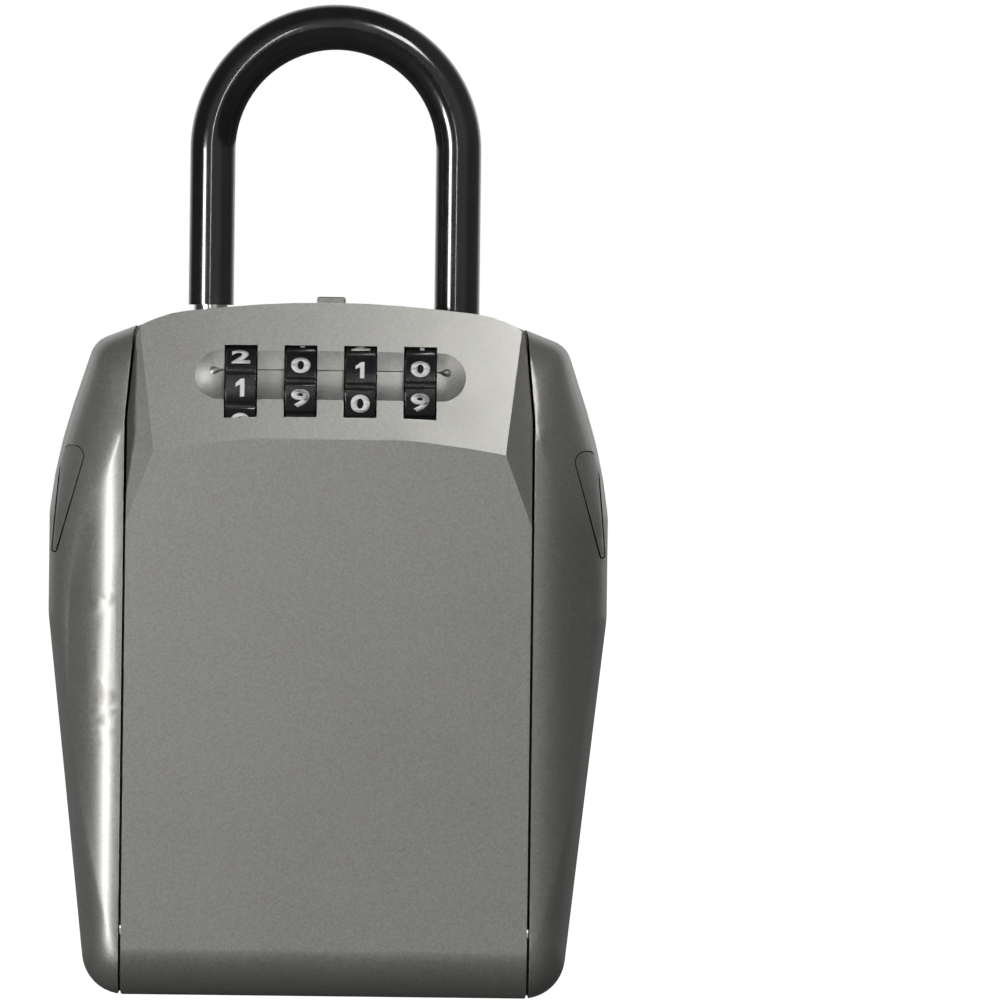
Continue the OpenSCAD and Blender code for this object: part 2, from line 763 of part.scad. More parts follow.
module mechanism_cover() {
    outline = rounded(both_sides([
        [head_half - 0.2, head_floor_z + 1, 2],
        [head_half - 0.2, head_top - 4.4, 4],
        [0, head_top + 0.5, 80]]));
    color(bare_zinc) difference() {
        union() {
            along_y(plate_y, plate_back_y) polygon(outline);
            for (sx = [-1, 1])
                block([sx * spring_x - 2, sx * spring_x + 2], [plate_back_y - 0.5, plate_back_y + 2.9],
                    [spring_z - 1.2, spring_z]);
        }
        // windows for the prongs of the slider
        for (i = [1:dial_count])
            block([prong_x(i) - 0.4, prong_x(i) + prong_w + 0.4], [plate_y - past, plate_back_y + past],
                [prong_z - latch_travel - 0.4, prong_z + 2.2]);
        for (sx = [-1, 1], z = screw_rows)
            rod_y(screw_r + 0.15, sx * screw_x, plate_y - past, plate_back_y + past, z);
        // clear of the release tab
        block([-tab_w / 2 - 0.4, tab_w / 2 + 0.4], [plate_y - past, plate_back_y + past],
            [arm_top - latch_travel - 0.5, body_h]);
        // slot for the reset lever
        block([reset_x - 1.7, reset_x + 1.7 + reset_travel], [plate_y - past, plate_back_y + past],
            [reset_z - 0.9, reset_z + 0.9]);
    }
}

module cover_screws() {
    color(steel) for (sx = [-1, 1], z = screw_rows) {
        rod_y(screw_r - seat_gap, sx * screw_x, plate_y - 5, plate_back_y + 0.2, z);
        difference() {
            rod_y(2.1, sx * screw_x, plate_back_y, plate_back_y + 1.3, z);
            for (turn = [0, 90])
                translate([sx * screw_x, plate_back_y + 1.1, z]) rotate([0, turn, 0])
                    block([-1.4, 1.4], [-0.4, past], [-0.3, 0.3]);
        }
    }
}

module dial_shaft() {
    color(steel) rod_x(shaft_d / 2, -head_half - 1.8, head_half + 1.8, dial_y, dial_z);
}

// A leaf with one finger behind each dial
module detent_spring() {
    leaf_y = plate_y - 0.1;
    leaf_t = 0.4;
    z0 = dial_z - 8.5;
    color(brass) {
        block([-slider_half, slider_half], [leaf_y - leaf_t, leaf_y], [z0, z0 + 3]);
        for (i = [1:dial_count])
            block([dial_x(i) - 1.6, dial_x(i) + 1.6], [leaf_y - leaf_t, leaf_y], [z0 + 2.5, dial_z + 4.5]);
    }
}

// ---------- dials ----------

module dial_wheel(i) {
    color(dial_black) translate([dial_x(i), dial_y, dial_z]) difference() {
        union() {
            rod_x(dial_r, -dial_w / 2, dial_w / 2, 0, 0);
            rod_x(hub_r, 0, cam_x + cam_w + 0.4, 0, 0);
        }
        rod_x(shaft_d / 2 + run_gap, -dial_w, dial_w + cam_w, 0, 0);
        // ten finger grooves between the numbers
        for (k = [0:9])
            rotate([36 * k + 18 + dial_turns[i - 1], 0, 0])
                rod_x(1.1, -dial_w, dial_w, -dial_r - 0.75, 0);
    }
}

module dial_cam(i) {
    color(brass) translate([dial_x(i), dial_y, dial_z]) difference() {
        rod_x(cam_r, cam_x, cam_x + cam_w, 0, 0);
        rod_x(hub_r + seat_gap, cam_x - past, cam_x + cam_w + past, 0, 0);
        block([cam_x - past, cam_x + cam_w + past], [-1.3, 1.3], [cam_r - 1.4, cam_r + past]);
    }
}

module dial_wheel_1() dial_wheel(1);
module dial_wheel_2() dial_wheel(2);
module dial_wheel_3() dial_wheel(3);
module dial_wheel_4() dial_wheel(4);
module dial_cam_1() dial_cam(1);
module dial_cam_2() dial_cam(2);
module dial_cam_3() dial_cam(3);
module dial_cam_4() dial_cam(4);

// ---------- latch ----------

prong_w = 3;
prong_z = dial_z + cam_r + latch_travel + 0.3;
function prong_x(i) = dial_x(i) + cam_x + 0.4;
spring_x = 12;
spring_z = head_floor_z + 3;
slider_z = spring_z + 5.2;
arm_top = housing_top - 0.3;
arm_t = 1.1;
arm_half = tab_w - 0.2;

module latch_slider() {
    tooth_y = head_y + 0.3 + catch_lip + 0.3;
    color(steel) {
        block([-slider_half, slider_half], [slider_y, slider_y + slider_t], [slider_z, dial_z + 10.2]);
        block([-arm_half, arm_half], [slider_y, slider_y + slider_t], [dial_z + 9, arm_top]);
        block([-arm_half, arm_half], [slider_y, tooth_y + 2.2], [arm_top - arm_t, arm_top]);
        block([-arm_half, arm_half], [tooth_y, tooth_y + 2.2], [arm_top - arm_t, arm_top + tooth_bite]);
        for (i = [1:dial_count])
            block([prong_x(i), prong_x(i) + prong_w], [dial_y - 1.5, slider_y + 0.5], [prong_z, prong_z + 1.6]);
    }
}

module release_tab() {
    color(paint) block([-tab_w / 2, tab_w / 2], [tab_y, slider_y + slider_t], [arm_top, body_h - 0.3 + tab_proud]);
}

module slider_springs() {
    color(steel) for (sx = [-1, 1])
        translate([sx * spring_x, slider_y + 1.1, spring_z + 0.05])
            coil(0.95, 0.4, slider_z - spring_z - 0.1, 5, 6, 14);
}

reset_x = -screw_x + 6.2;
reset_z = head_floor_z + 3.4;

module reset_lever() {
    color(steel) {
        block([reset_x - 2.4, reset_x + 2.4], [plate_back_y + slide_gap, plate_back_y + 1.9], [reset_z - 1.8, reset_z + 1.8]);
        block([reset_x - 1.5, reset_x + 1.5], [plate_y, plate_back_y + 0.5], [reset_z - 0.7, reset_z + 0.7]);
    }
}

case_shell();
side_grip_left();
side_grip_right();
lock_housing();
lock_cover();
cover_rivets();
hinge_pin();
hinge_spring_left();
hinge_spring_right();
shackle_bolt();
bolt_spring();
release_pin();
shackle_bar();
shackle_sleeve();
retaining_collar();
door_shell();
mechanism_cover();
cover_screws();
dial_shaft();
detent_spring();
dial_wheel_1();
dial_wheel_2();
dial_wheel_3();
dial_wheel_4();
dial_cam_1();
dial_cam_2();
dial_cam_3();
dial_cam_4();
latch_slider();
release_tab();
slider_springs();
reset_lever();
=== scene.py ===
"""A portable combination key lock box: winged cast case, hinged door, four dials and a sleeved shackle."""

import math

import bmesh
import bpy
from mathutils import Matrix, Vector


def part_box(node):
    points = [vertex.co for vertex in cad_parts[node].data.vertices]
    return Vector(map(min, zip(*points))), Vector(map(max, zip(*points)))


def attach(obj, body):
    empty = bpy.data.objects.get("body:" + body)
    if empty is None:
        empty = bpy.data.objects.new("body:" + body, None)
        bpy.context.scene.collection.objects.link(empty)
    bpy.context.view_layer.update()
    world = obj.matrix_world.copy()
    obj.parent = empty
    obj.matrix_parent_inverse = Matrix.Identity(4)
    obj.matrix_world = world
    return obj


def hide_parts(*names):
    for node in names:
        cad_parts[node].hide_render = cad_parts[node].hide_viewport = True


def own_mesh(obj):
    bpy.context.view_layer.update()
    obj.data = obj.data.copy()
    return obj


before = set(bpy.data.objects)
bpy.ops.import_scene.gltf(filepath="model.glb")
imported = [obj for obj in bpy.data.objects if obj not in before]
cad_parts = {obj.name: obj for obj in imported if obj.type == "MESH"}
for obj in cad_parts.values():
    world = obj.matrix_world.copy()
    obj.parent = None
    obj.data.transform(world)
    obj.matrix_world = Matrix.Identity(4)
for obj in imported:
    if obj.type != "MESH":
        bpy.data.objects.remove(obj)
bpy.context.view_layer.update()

bl_info = {
    "name": "Key Lock Box",
    "version": (1, 0, 0),
    "blender": (4, 5, 0),
    "location": "View3D > Sidebar > Lock Box",
    "description": "Models the key lock box round its packed frame",
    "category": "Object",
}

MM = 0.001

# Heights and planes of the box, in millimetres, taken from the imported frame
CASE_LOW, CASE_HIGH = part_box("case_shell")
DOOR_LOW, DOOR_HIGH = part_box("door_shell")
HALF_WIDTH = CASE_HIGH.x / MM
BODY_TOP = CASE_HIGH.z / MM
FRONT = DOOR_LOW.y / MM
BACK = CASE_HIGH.y / MM
WING_FRONT = CASE_LOW.y / MM
DOOR_HALF = DOOR_HIGH.x / MM
CREASE = BODY_TOP - 25.0
SLANT = math.radians(17)
LEAN = math.tan(SLANT)
DIAL_COUNT = 4
DIAL_HALF = 2.8

# Far enough out, in millimetres, to be outside the whole box
OUTSIDE = 60


def dial_centre(number):
    """The middle of one dial and its radius, in millimetres."""
    low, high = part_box("dial_wheel_%d" % number)
    radius = (high.z - low.z) / 2 / MM
    return Vector((low.x / MM + DIAL_HALF, (low.y + high.y) / 2 / MM, (low.z + high.z) / 2 / MM)), radius


# ---------- sizes and colours that can be changed ----------


class PaintLook(bpy.types.PropertyGroup):
    """The sprayed metallic finish of the case and the door"""

    colour: bpy.props.FloatVectorProperty(
        name="Paint colour", description="Colour of the sprayed metallic finish",
        subtype='COLOR', size=3, min=0, max=1, default=(0.36, 0.355, 0.335))
    flake_size: bpy.props.FloatProperty(
        name="Flake size", description="Size of the speckle in the finish",
        subtype='DISTANCE', unit='LENGTH', default=0.00026, min=0.0001, max=0.002)
    roughness: bpy.props.FloatProperty(
        name="Paint roughness", description="How soft the sheen of the finish is",
        subtype='FACTOR', default=0.4, min=0.05, max=1)
    edge_radius: bpy.props.FloatProperty(
        name="Edge radius", description="Radius that breaks the edges of the castings",
        subtype='DISTANCE', unit='LENGTH', default=0.00028, min=0.0001, max=0.001)


class FormSizes(bpy.types.PropertyGroup):
    """Sizes of the form that the finished pieces add to the frame"""

    face_radius: bpy.props.FloatProperty(
        name="Dial face radius", description="Radius of the crowned dial face, seen from above",
        subtype='DISTANCE', unit='LENGTH', default=0.572, min=0.2, max=5)
    scoop: bpy.props.FloatProperty(
        name="Wing scoop", description="How quickly the crescent beside the door falls away, per millimetre",
        default=0.071, min=0.02, max=0.12)
    trough_depth: bpy.props.FloatProperty(
        name="Trough depth", description="Depth of the shallow trough across the dials",
        subtype='DISTANCE', unit='LENGTH', default=0.0009, min=0.0002, max=0.0012)
    line_width: bpy.props.FloatProperty(
        name="Index line width", description="Width of the cut line that the numbers are read at",
        subtype='DISTANCE', unit='LENGTH', default=0.0004, min=0.0001, max=0.001)


class DialLook(bpy.types.PropertyGroup):
    """The dials and their numbers"""

    number_height: bpy.props.FloatProperty(
        name="Number height", description="Height of a number along the dial",
        subtype='DISTANCE', unit='LENGTH', default=0.0034, min=0.001, max=0.005)
    number_width: bpy.props.FloatProperty(
        name="Number width", description="Width of a number across the dial",
        subtype='DISTANCE', unit='LENGTH', default=0.0042, min=0.001, max=0.005)
    number_colour: bpy.props.FloatVectorProperty(
        name="Number colour", description="Colour of the filled numbers",
        subtype='COLOR', size=3, min=0, max=1, default=(0.9, 0.9, 0.88))
    dial_colour: bpy.props.FloatVectorProperty(
        name="Dial colour", description="Colour of the moulded dials",
        subtype='COLOR', size=3, min=0, max=1, default=(0.012, 0.012, 0.013))
    sleeve_colour: bpy.props.FloatVectorProperty(
        name="Sleeve colour", description="Colour of the vinyl on the shackle",
        subtype='COLOR', size=3, min=0, max=1, default=(0.01, 0.01, 0.01))


class StageLook(bpy.types.PropertyGroup):
    """The studio round the box"""

    left_power: bpy.props.FloatProperty(
        name="Left softbox", description="Power of the tall softbox at the left",
        unit='POWER', default=4.2, min=0, max=200)
    top_power: bpy.props.FloatProperty(
        name="Upper right softbox", description="Power of the wide softbox above the right shoulder",
        unit='POWER', default=0.75, min=0, max=200)
    strip_power: bpy.props.FloatProperty(
        name="Front strip", description="Power of the narrow strip light in front",
        unit='POWER', default=1.3, min=0, max=200)
    surround: bpy.props.FloatProperty(
        name="Surround", description="Brightness of the room in front of the box",
        default=0.36, min=0, max=2)
    distance: bpy.props.FloatProperty(
        name="Camera distance", description="Distance of the camera from the middle of the box",
        subtype='DISTANCE', unit='LENGTH', default=2.5, min=0.5, max=5)


def looks():
    """The four groups of settings."""
    scene = bpy.context.scene
    return scene.keybox_paint, scene.keybox_form, scene.keybox_dials, scene.keybox_stage


# ---------- small helpers ----------


def clear_selection():
    """Leaves edit mode and deselects everything."""
    if bpy.context.object and bpy.context.object.mode != 'OBJECT':
        bpy.ops.object.mode_set(mode='OBJECT')
    bpy.ops.object.select_all(action='DESELECT')


def pick(obj):
    """Makes one object the only selected and the active one."""
    clear_selection()
    obj.select_set(True)
    bpy.context.view_layer.objects.active = obj


def placed(name, data):
    """A new object in the scene."""
    obj = bpy.data.objects.new(name, data)
    bpy.context.scene.collection.objects.link(obj)
    return obj


def edit_all():
    """Enters edit mode with everything selected."""
    bpy.ops.object.mode_set(mode='EDIT')
    bpy.ops.mesh.select_all(action='SELECT')


def face_outwards():
    """Turns every face outwards and leaves edit mode."""
    bpy.ops.mesh.select_all(action='SELECT')
    bpy.ops.mesh.normals_make_consistent(inside=False)
    bpy.ops.object.mode_set(mode='OBJECT')


def copy_of(node, name):
    """A merged copy of a CAD node, free of its body, ready to be shaped."""
    obj = placed(name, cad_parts[node].data.copy())
    obj.data.materials.clear()
    pick(obj)
    edit_all()
    bpy.ops.mesh.customdata_custom_splitnormals_clear()
    bpy.ops.mesh.remove_doubles(threshold=2e-6)
    bpy.ops.mesh.dissolve_degenerate(threshold=1e-6)
    bpy.ops.object.mode_set(mode='OBJECT')
    return obj


def simplify(obj, degrees=0.4):
    """Joins the triangles of flat areas into whole faces."""
    pick(obj)
    edit_all()
    bpy.ops.mesh.remove_doubles(threshold=3e-6)
    bpy.ops.mesh.dissolve_limited(angle_limit=math.radians(degrees), use_dissolve_boundaries=False)
    bpy.ops.object.mode_set(mode='OBJECT')


def ring_solid(name, rings):
    """A closed solid through rings of points in millimetres: a disc, extruded and placed ring by ring."""
    clear_selection()
    bpy.ops.mesh.primitive_circle_add(vertices=len(rings[0]), radius=0.01, fill_type='NGON')
    obj = bpy.context.object
    obj.name = name
    edit_all()
    for count, ring in enumerate(rings):
        if count:
            bpy.ops.mesh.extrude_region_move()
        mesh = bmesh.from_edit_mesh(obj.data)
        order = mesh.verts.layers.int.get("order") or mesh.verts.layers.int.new("order")
        cap = next(face for face in mesh.faces if face.select)
        if not count:
            for place, vertex in enumerate(cap.verts):
                vertex[order] = place
        for vertex in cap.verts:
            vertex.co = Vector(ring[vertex[order]]) * MM
        bmesh.update_edit_mesh(obj.data)
    face_outwards()
    if volume(obj) < 0:
        raise RuntimeError("%s is inside out" % name)
    return obj


def volume(obj):
    """The signed volume of a closed mesh."""
    mesh = bmesh.new()
    mesh.from_mesh(obj.data)
    found = mesh.calc_volume(signed=True)
    mesh.free()
    return found


def carve(target, tool, operation='DIFFERENCE'):
    """Cuts with another solid, or keeps what lies inside it, and makes sure at least half is left."""
    before = abs(volume(target))
    cut = target.modifiers.new("carve", 'BOOLEAN')
    cut.operation = operation
    cut.object = tool
    cut.solver = 'EXACT'
    pick(target)
    bpy.ops.object.modifier_apply(modifier=cut.name)
    bpy.data.objects.remove(tool, do_unlink=True)
    if abs(volume(target)) < before / 2:
        raise RuntimeError("cutting %s left too little of it" % target.name)


def break_edges(obj, width, degrees=35, segments=2, crisp=26):
    """Rounds the sharp edges and shades the faces smooth."""
    pick(obj)
    edges = obj.modifiers.new("edges", 'BEVEL')
    edges.width = width
    edges.segments = segments
    edges.limit_method = 'ANGLE'
    edges.angle_limit = math.radians(degrees)
    edges.use_clamp_overlap = True
    edges.miter_outer = 'MITER_ARC'
    bpy.ops.object.modifier_apply(modifier=edges.name)
    smooth(obj, crisp)


def smooth(obj, degrees):
    """Smooth shading with crisp edges kept."""
    pick(obj)
    bpy.ops.object.shade_smooth_by_angle(angle=math.radians(degrees))
    weight = obj.modifiers.new("weight", 'WEIGHTED_NORMAL')
    weight.keep_sharp = True
    weight.mode = 'FACE_AREA'
    bpy.ops.object.modifier_apply(modifier=weight.name)


def unit(x, y):
    """A direction of length one."""
    size = math.hypot(x, y)
    return x / size, y / size


def rounded(corners, step):
    """A closed outline from corners given as (across, up, radius)."""
    points = []
    for count, (cx, cz, radius) in enumerate(corners):
        px, pz, _ = corners[count - 1]
        qx, qz, _ = corners[(count + 1) % len(corners)]
        ux, uz = unit(px - cx, pz - cz)
        vx, vz = unit(qx - cx, qz - cz)
        half = math.acos(max(-1, min(1, ux * vx + uz * vz))) / 2
        mx, mz = unit(ux + vx, uz + vz)
        ox = cx + mx * radius / math.sin(half)
        oz = cz + mz * radius / math.sin(half)
        first = math.atan2(cz + uz * radius / math.tan(half) - oz, cx + ux * radius / math.tan(half) - ox)
        turn = math.pi - 2 * half
        if (cx - px) * (qz - cz) - (cz - pz) * (qx - cx) < 0:
            turn = -turn
        steps = max(2, math.ceil(abs(math.degrees(turn)) / step))
        for k in range(steps + 1):
            angle = first + turn * k / steps
            points.append((ox + radius * math.cos(angle), oz + radius * math.sin(angle)))
    return points


def both_sides(half):
    """The corners of the right half and their mirror image."""
    return half + [(-x, z, r) for x, z, r in reversed(half) if x > 0]


def resampled(points, count):
    """The same closed outline with evenly spaced points."""
    loop = points + [points[0]]
    lengths = [0.0]
    for (ax, az), (bx, bz) in zip(loop, loop[1:]):
        lengths.append(lengths[-1] + math.hypot(bx - ax, bz - az))
    out = []
    place = 0
    for k in range(count):
        want = lengths[-1] * k / count
        while lengths[place + 1] < want:
            place += 1
        share = (want - lengths[place]) / max(1e-9, lengths[place + 1] - lengths[place])
        (ax, az), (bx, bz) = loop[place], loop[place + 1]
        out.append((ax + (bx - ax) * share, az + (bz - az) * share))
    return out


def blend_table(table, key):
    """The values between two rows of (key, value ...), for one key."""
    if key <= table[0][0]:
        return table[0][1:]
    for low, high in zip(table, table[1:]):
        if key <= high[0]:
            share = (key - low[0]) / (high[0] - low[0])
            return tuple(a + (b - a) * share for a, b in zip(low[1:], high[1:]))
    return table[-1][1:]


# ---------- finishes ----------


def new_group(name, setting, value, outputs=("Mask",)):
    """A shader node group with a vector, one setting and its outputs."""
    group = bpy.data.node_groups.new(name, 'ShaderNodeTree')
    group.interface.new_socket(name="Vector", in_out='INPUT', socket_type='NodeSocketVector')
    kind = 'NodeSocketVector' if isinstance(value, tuple) else 'NodeSocketFloat'
    made = group.interface.new_socket(name=setting, in_out='INPUT', socket_type=kind)
    made.default_value = value
    for output in outputs:
        group.interface.new_socket(name=output, in_out='OUTPUT', socket_type='NodeSocketFloat')
    start = group.nodes.new('NodeGroupInput')
    end = group.nodes.new('NodeGroupOutput')
    start.location = (-700, 0)
    end.location = (600, 0)
    return group, start, end


def feed(tree, socket, value):
    """Links another node's output to a socket, or sets the socket's own value."""
    if isinstance(value, bpy.types.NodeSocket):
        tree.links.new(value, socket)
    else:
        socket.default_value = value


def math_node(tree, operation, first, second):
    """One Math node with its inputs linked or set."""
    node = tree.nodes.new('ShaderNodeMath')
    node.operation = operation
    feed(tree, node.inputs[0], first)
    feed(tree, node.inputs[1], second)
    return node.outputs[0]


def noise_node(tree, vector, scale, detail=2.0, rough=0.5):
    """One Noise texture on a vector."""
    node = tree.nodes.new('ShaderNodeTexNoise')
    node.inputs["Detail"].default_value = detail
    node.inputs["Roughness"].default_value = rough
    tree.links.new(vector, node.inputs["Vector"])
    feed(tree, node.inputs["Scale"], scale)
    return node.outputs["Fac"]


def ramp_node(tree, value, low, high, start=0.0, end=1.0):
    """A soft step from the start value at low to the end value at high."""
    node = tree.nodes.new('ShaderNodeMapRange')
    node.interpolation_type = 'SMOOTHSTEP'
    node.inputs["From Min"].default_value = low
    node.inputs["From Max"].default_value = high
    node.inputs["To Min"].default_value = start
    node.inputs["To Max"].default_value = end
    tree.links.new(value, node.inputs["Value"])
    return node.outputs["Result"]


def flake_group():
    """Fine metallic speckle: bright and dark flakes, and their height."""
    group, start, end = new_group("fine_flake", "Scale", 2400.0, ("Mask", "Height"))
    fine = noise_node(group, start.outputs["Vector"], start.outputs["Scale"], 1.0)
    coarse = noise_node(group, start.outputs["Vector"],
                        math_node(group, 'MULTIPLY', start.outputs["Scale"], 0.42), 2.0)
    both = math_node(group, 'ADD', math_node(group, 'MULTIPLY', fine, 0.65),
                     math_node(group, 'MULTIPLY', coarse, 0.35))
    group.links.new(ramp_node(group, both, 0.36, 0.64), end.inputs["Mask"])
    group.links.new(both, end.inputs["Height"])
    return group


def handling_group():
    """Broad, faint variation from handling: where the sheen is a little softer."""
    group, start, end = new_group("handling", "Scale", 40.0)
    broad = noise_node(group, start.outputs["Vector"], start.outputs["Scale"], 4.0, 0.6)
    group.links.new(ramp_node(group, broad, 0.35, 0.7), end.inputs["Mask"])
    return group


def edge_group():
    """Painted highlight on edges that catch the light: a lighter mask where the surface turns sharply, broken
    into patches.
    """
    group, start, end = new_group("painted_edge_highlight", "Radius", 0.0004)
    bevel = group.nodes.new('ShaderNodeBevel')
    bevel.samples = 4
    group.links.new(start.outputs["Radius"], bevel.inputs["Radius"])
    flat = group.nodes.new('ShaderNodeNewGeometry')
    dot = group.nodes.new('ShaderNodeVectorMath')
    dot.operation = 'DOT_PRODUCT'
    group.links.new(bevel.outputs["Normal"], dot.inputs[0])
    group.links.new(flat.outputs["Normal"], dot.inputs[1])
    turned = math_node(group, 'SUBTRACT', 1.0, dot.outputs["Value"])
    broken = noise_node(group, start.outputs["Vector"], 900.0, 2.0)
    # painted highlight mask: sharp turns of the surface, broken into patches by noise
    highlight_mask = math_node(group, 'MULTIPLY', ramp_node(group, turned, 0.02, 0.2),
                     ramp_node(group, broken, 0.35, 0.65))
    group.links.new(highlight_mask, end.inputs["Mask"])
    return group


def brushed_group():
    """Drawn metal: long fine streaks, and their height."""
    group, start, end = new_group("drawn_streaks", "Stretch", (1.0, 1.0, 0.05), ("Mask", "Height"))
    scaled = group.nodes.new('ShaderNodeVectorMath')
    scaled.operation = 'MULTIPLY'
    group.links.new(start.outputs["Vector"], scaled.inputs[0])
    group.links.new(start.outputs["Stretch"], scaled.inputs[1])
    streaks = noise_node(group, scaled.outputs["Vector"], 4200.0, 3.0, 0.6)
    group.links.new(ramp_node(group, streaks, 0.3, 0.7), end.inputs["Mask"])
    group.links.new(streaks, end.inputs["Height"])
    return group


def dust_group():
    """A little dust that settles on surfaces facing up."""
    group, start, end = new_group("settled_dust", "Amount", 0.2)
    facing = group.nodes.new('ShaderNodeNewGeometry')
    split = group.nodes.new('ShaderNodeSeparateXYZ')
    group.links.new(facing.outputs["Normal"], split.inputs[0])
    patches = noise_node(group, start.outputs["Vector"], 260.0, 4.0, 0.65)
    up = math_node(group, 'MULTIPLY', ramp_node(group, split.outputs["Z"], 0.2, 1.0),
                   ramp_node(group, patches, 0.4, 0.75))
    group.links.new(math_node(group, 'MULTIPLY', up, start.outputs["Amount"]), end.inputs["Mask"])
    return group


GROUPS = {}


def shared(name):
    """One of the shared effects, built the first time it is asked for."""
    makers = {"flake": flake_group, "handling": handling_group, "edge": edge_group,
              "brushed": brushed_group, "dust": dust_group}
    if name not in GROUPS:
        GROUPS[name] = makers[name]()
    return GROUPS[name]


def new_material(name):
    """A material with its Principled shader and the piece's own coordinates."""
    material = bpy.data.materials.new(name)
    material.use_nodes = True
    tree = material.node_tree
    shader = tree.nodes["Principled BSDF"]
    place = tree.nodes.new('ShaderNodeTexCoord')
    return material, tree, shader, place.outputs["Object"]


def effect(tree, name, vector, **values):
    """Places one shared effect in a material."""
    node = tree.nodes.new('ShaderNodeGroup')
    node.node_tree = shared(name)
    tree.links.new(vector, node.inputs["Vector"])
    for socket, value in values.items():
        node.inputs[socket].default_value = value
    return node


def mix_colour(tree, mask, first, second):
    """A mix of two colours by a mask."""
    node = tree.nodes.new('ShaderNodeMix')
    node.data_type = 'RGBA'
    tree.links.new(mask, node.inputs["Factor"])
    for socket, value in ((node.inputs[6], first), (node.inputs[7], second)):
        if isinstance(value, tuple):
            socket.default_value = (*value[:3], 1)
        else:
            tree.links.new(value, socket)
    return node.outputs[2]


def spread(tree, mask, low, high):
    """A value that runs from low to high with a mask."""
    node = tree.nodes.new('ShaderNodeMapRange')
    node.inputs["To Min"].default_value = low
    node.inputs["To Max"].default_value = high
    tree.links.new(mask, node.inputs["Value"])
    return node.outputs["Result"]


def surface(tree, shader, colour, rough, metallic=0.0):
    """Gives a shader its colour, its roughness and how far it is a metal."""
    tree.links.new(colour, shader.inputs["Base Color"])
    tree.links.new(rough, shader.inputs["Roughness"])
    shader.inputs["Metallic"].default_value = metallic


def two_marks(tree, first, low, high, second, less, more):
    """A roughness that follows two effects' masks, each over its own range."""
    return math_node(tree, 'ADD', spread(tree, first.outputs["Mask"], low, high),
                     spread(tree, second.outputs["Mask"], less, more))


def add_bump(tree, shader, height, strength, depth=0.00003):
    """Fine relief on a shader."""
    bump = tree.nodes.new('ShaderNodeBump')
    bump.inputs["Strength"].default_value = strength
    bump.inputs["Distance"].default_value = depth
    tree.links.new(height, bump.inputs["Height"])
    tree.links.new(bump.outputs["Normal"], shader.inputs["Normal"])


def shade(colour, factor):
    """A colour made lighter or darker."""
    return tuple(min(1.0, part * factor) for part in colour[:3])


def sprayed_paint(name, colour, flake, rough, lift=1.0):
    """Silver-grey metallic spray finish over cast zinc."""
    material, tree, shader, vector = new_material(name)
    speckle = effect(tree, "flake", vector, Scale=1.0 / flake)
    marks = effect(tree, "handling", vector, Scale=38.0)
    edges = effect(tree, "edge", vector, Radius=0.00035)
    dust = effect(tree, "dust", vector, Amount=0.25)
    base = shade(colour, lift)
    flaked = mix_colour(tree, speckle.outputs["Mask"], shade(base, 0.9), shade(base, 1.1))
    # painted highlight: sharp edges lightened to half again the paint's colour
    edge_lit = mix_colour(tree, edges.outputs["Mask"], flaked, shade(base, 1.5))
    dusty = mix_colour(tree, dust.outputs["Mask"], edge_lit, (0.42, 0.41, 0.39))
    soft = two_marks(tree, speckle, rough - 0.04, rough + 0.04, marks, -0.015, 0.03)
    surface(tree, shader, dusty, soft, 0.72)
    shader.inputs["Coat Weight"].default_value = 0.06
    shader.inputs["Coat Roughness"].default_value = 0.3
    add_bump(tree, shader, speckle.outputs["Height"], 0.12)
    return material


def cast_zinc(name):
    """Unpainted zinc casting."""
    material, tree, shader, vector = new_material(name)
    grain = effect(tree, "flake", vector, Scale=1500.0)
    marks = effect(tree, "handling", vector, Scale=70.0)
    colour = mix_colour(tree, grain.outputs["Mask"], (0.52, 0.53, 0.54), (0.68, 0.69, 0.7))
    stained = mix_colour(tree, marks.outputs["Mask"], colour, (0.5, 0.5, 0.49))
    surface(tree, shader, stained, spread(tree, marks.outputs["Mask"], 0.3, 0.46), 1.0)
    add_bump(tree, shader, grain.outputs["Height"], 0.3, 0.00006)
    return material


def drawn_steel(name, light=0.62, rough=0.24, stretch=(1.0, 1.0, 0.05)):
    """Plated or bare steel with the streaks of drawing or stamping."""
    material, tree, shader, vector = new_material(name)
    streaks = effect(tree, "brushed", vector, Stretch=stretch)
    marks = effect(tree, "handling", vector, Scale=90.0)
    colour = mix_colour(tree, streaks.outputs["Mask"], (light * 0.9, light * 0.91, light * 0.93),
                        (light * 1.12, light * 1.12, light * 1.12))
    soft = two_marks(tree, streaks, rough - 0.04, rough + 0.05, marks, -0.02, 0.05)
    surface(tree, shader, colour, soft, 1.0)
    add_bump(tree, shader, streaks.outputs["Height"], 0.15)
    return material


def stamped_brass(name):
    """Yellow brass strip and cams."""
    material, tree, shader, vector = new_material(name)
    streaks = effect(tree, "brushed", vector, Stretch=(0.08, 1.0, 1.0))
    marks = effect(tree, "handling", vector, Scale=120.0)
    colour = mix_colour(tree, streaks.outputs["Mask"], (0.62, 0.44, 0.17), (0.8, 0.6, 0.27))
    dull = mix_colour(tree, marks.outputs["Mask"], colour, (0.5, 0.36, 0.16))
    surface(tree, shader, dull, spread(tree, marks.outputs["Mask"], 0.22, 0.4), 1.0)
    add_bump(tree, shader, streaks.outputs["Height"], 0.12)
    return material


def black_plastic(name, colour, rough, grain, dusting, gloss):
    """Black vinyl or moulded plastic with a faint surface."""
    material, tree, shader, vector = new_material(name)
    skin = effect(tree, "flake", vector, Scale=grain)
    marks = effect(tree, "handling", vector, Scale=110.0)
    dust = effect(tree, "dust", vector, Amount=dusting)
    tone = mix_colour(tree, marks.outputs["Mask"], shade(colour, 0.85), shade(colour, 1.35))
    dusty = mix_colour(tree, dust.outputs["Mask"], tone, (0.16, 0.16, 0.155))
    surface(tree, shader, dusty, two_marks(tree, skin, rough - 0.02, rough + 0.03, marks, -0.02, 0.05))
    shader.inputs["Coat Weight"].default_value = gloss
    shader.inputs["Coat Roughness"].default_value = 0.06
    add_bump(tree, shader, skin.outputs["Height"], 0.08)
    return material


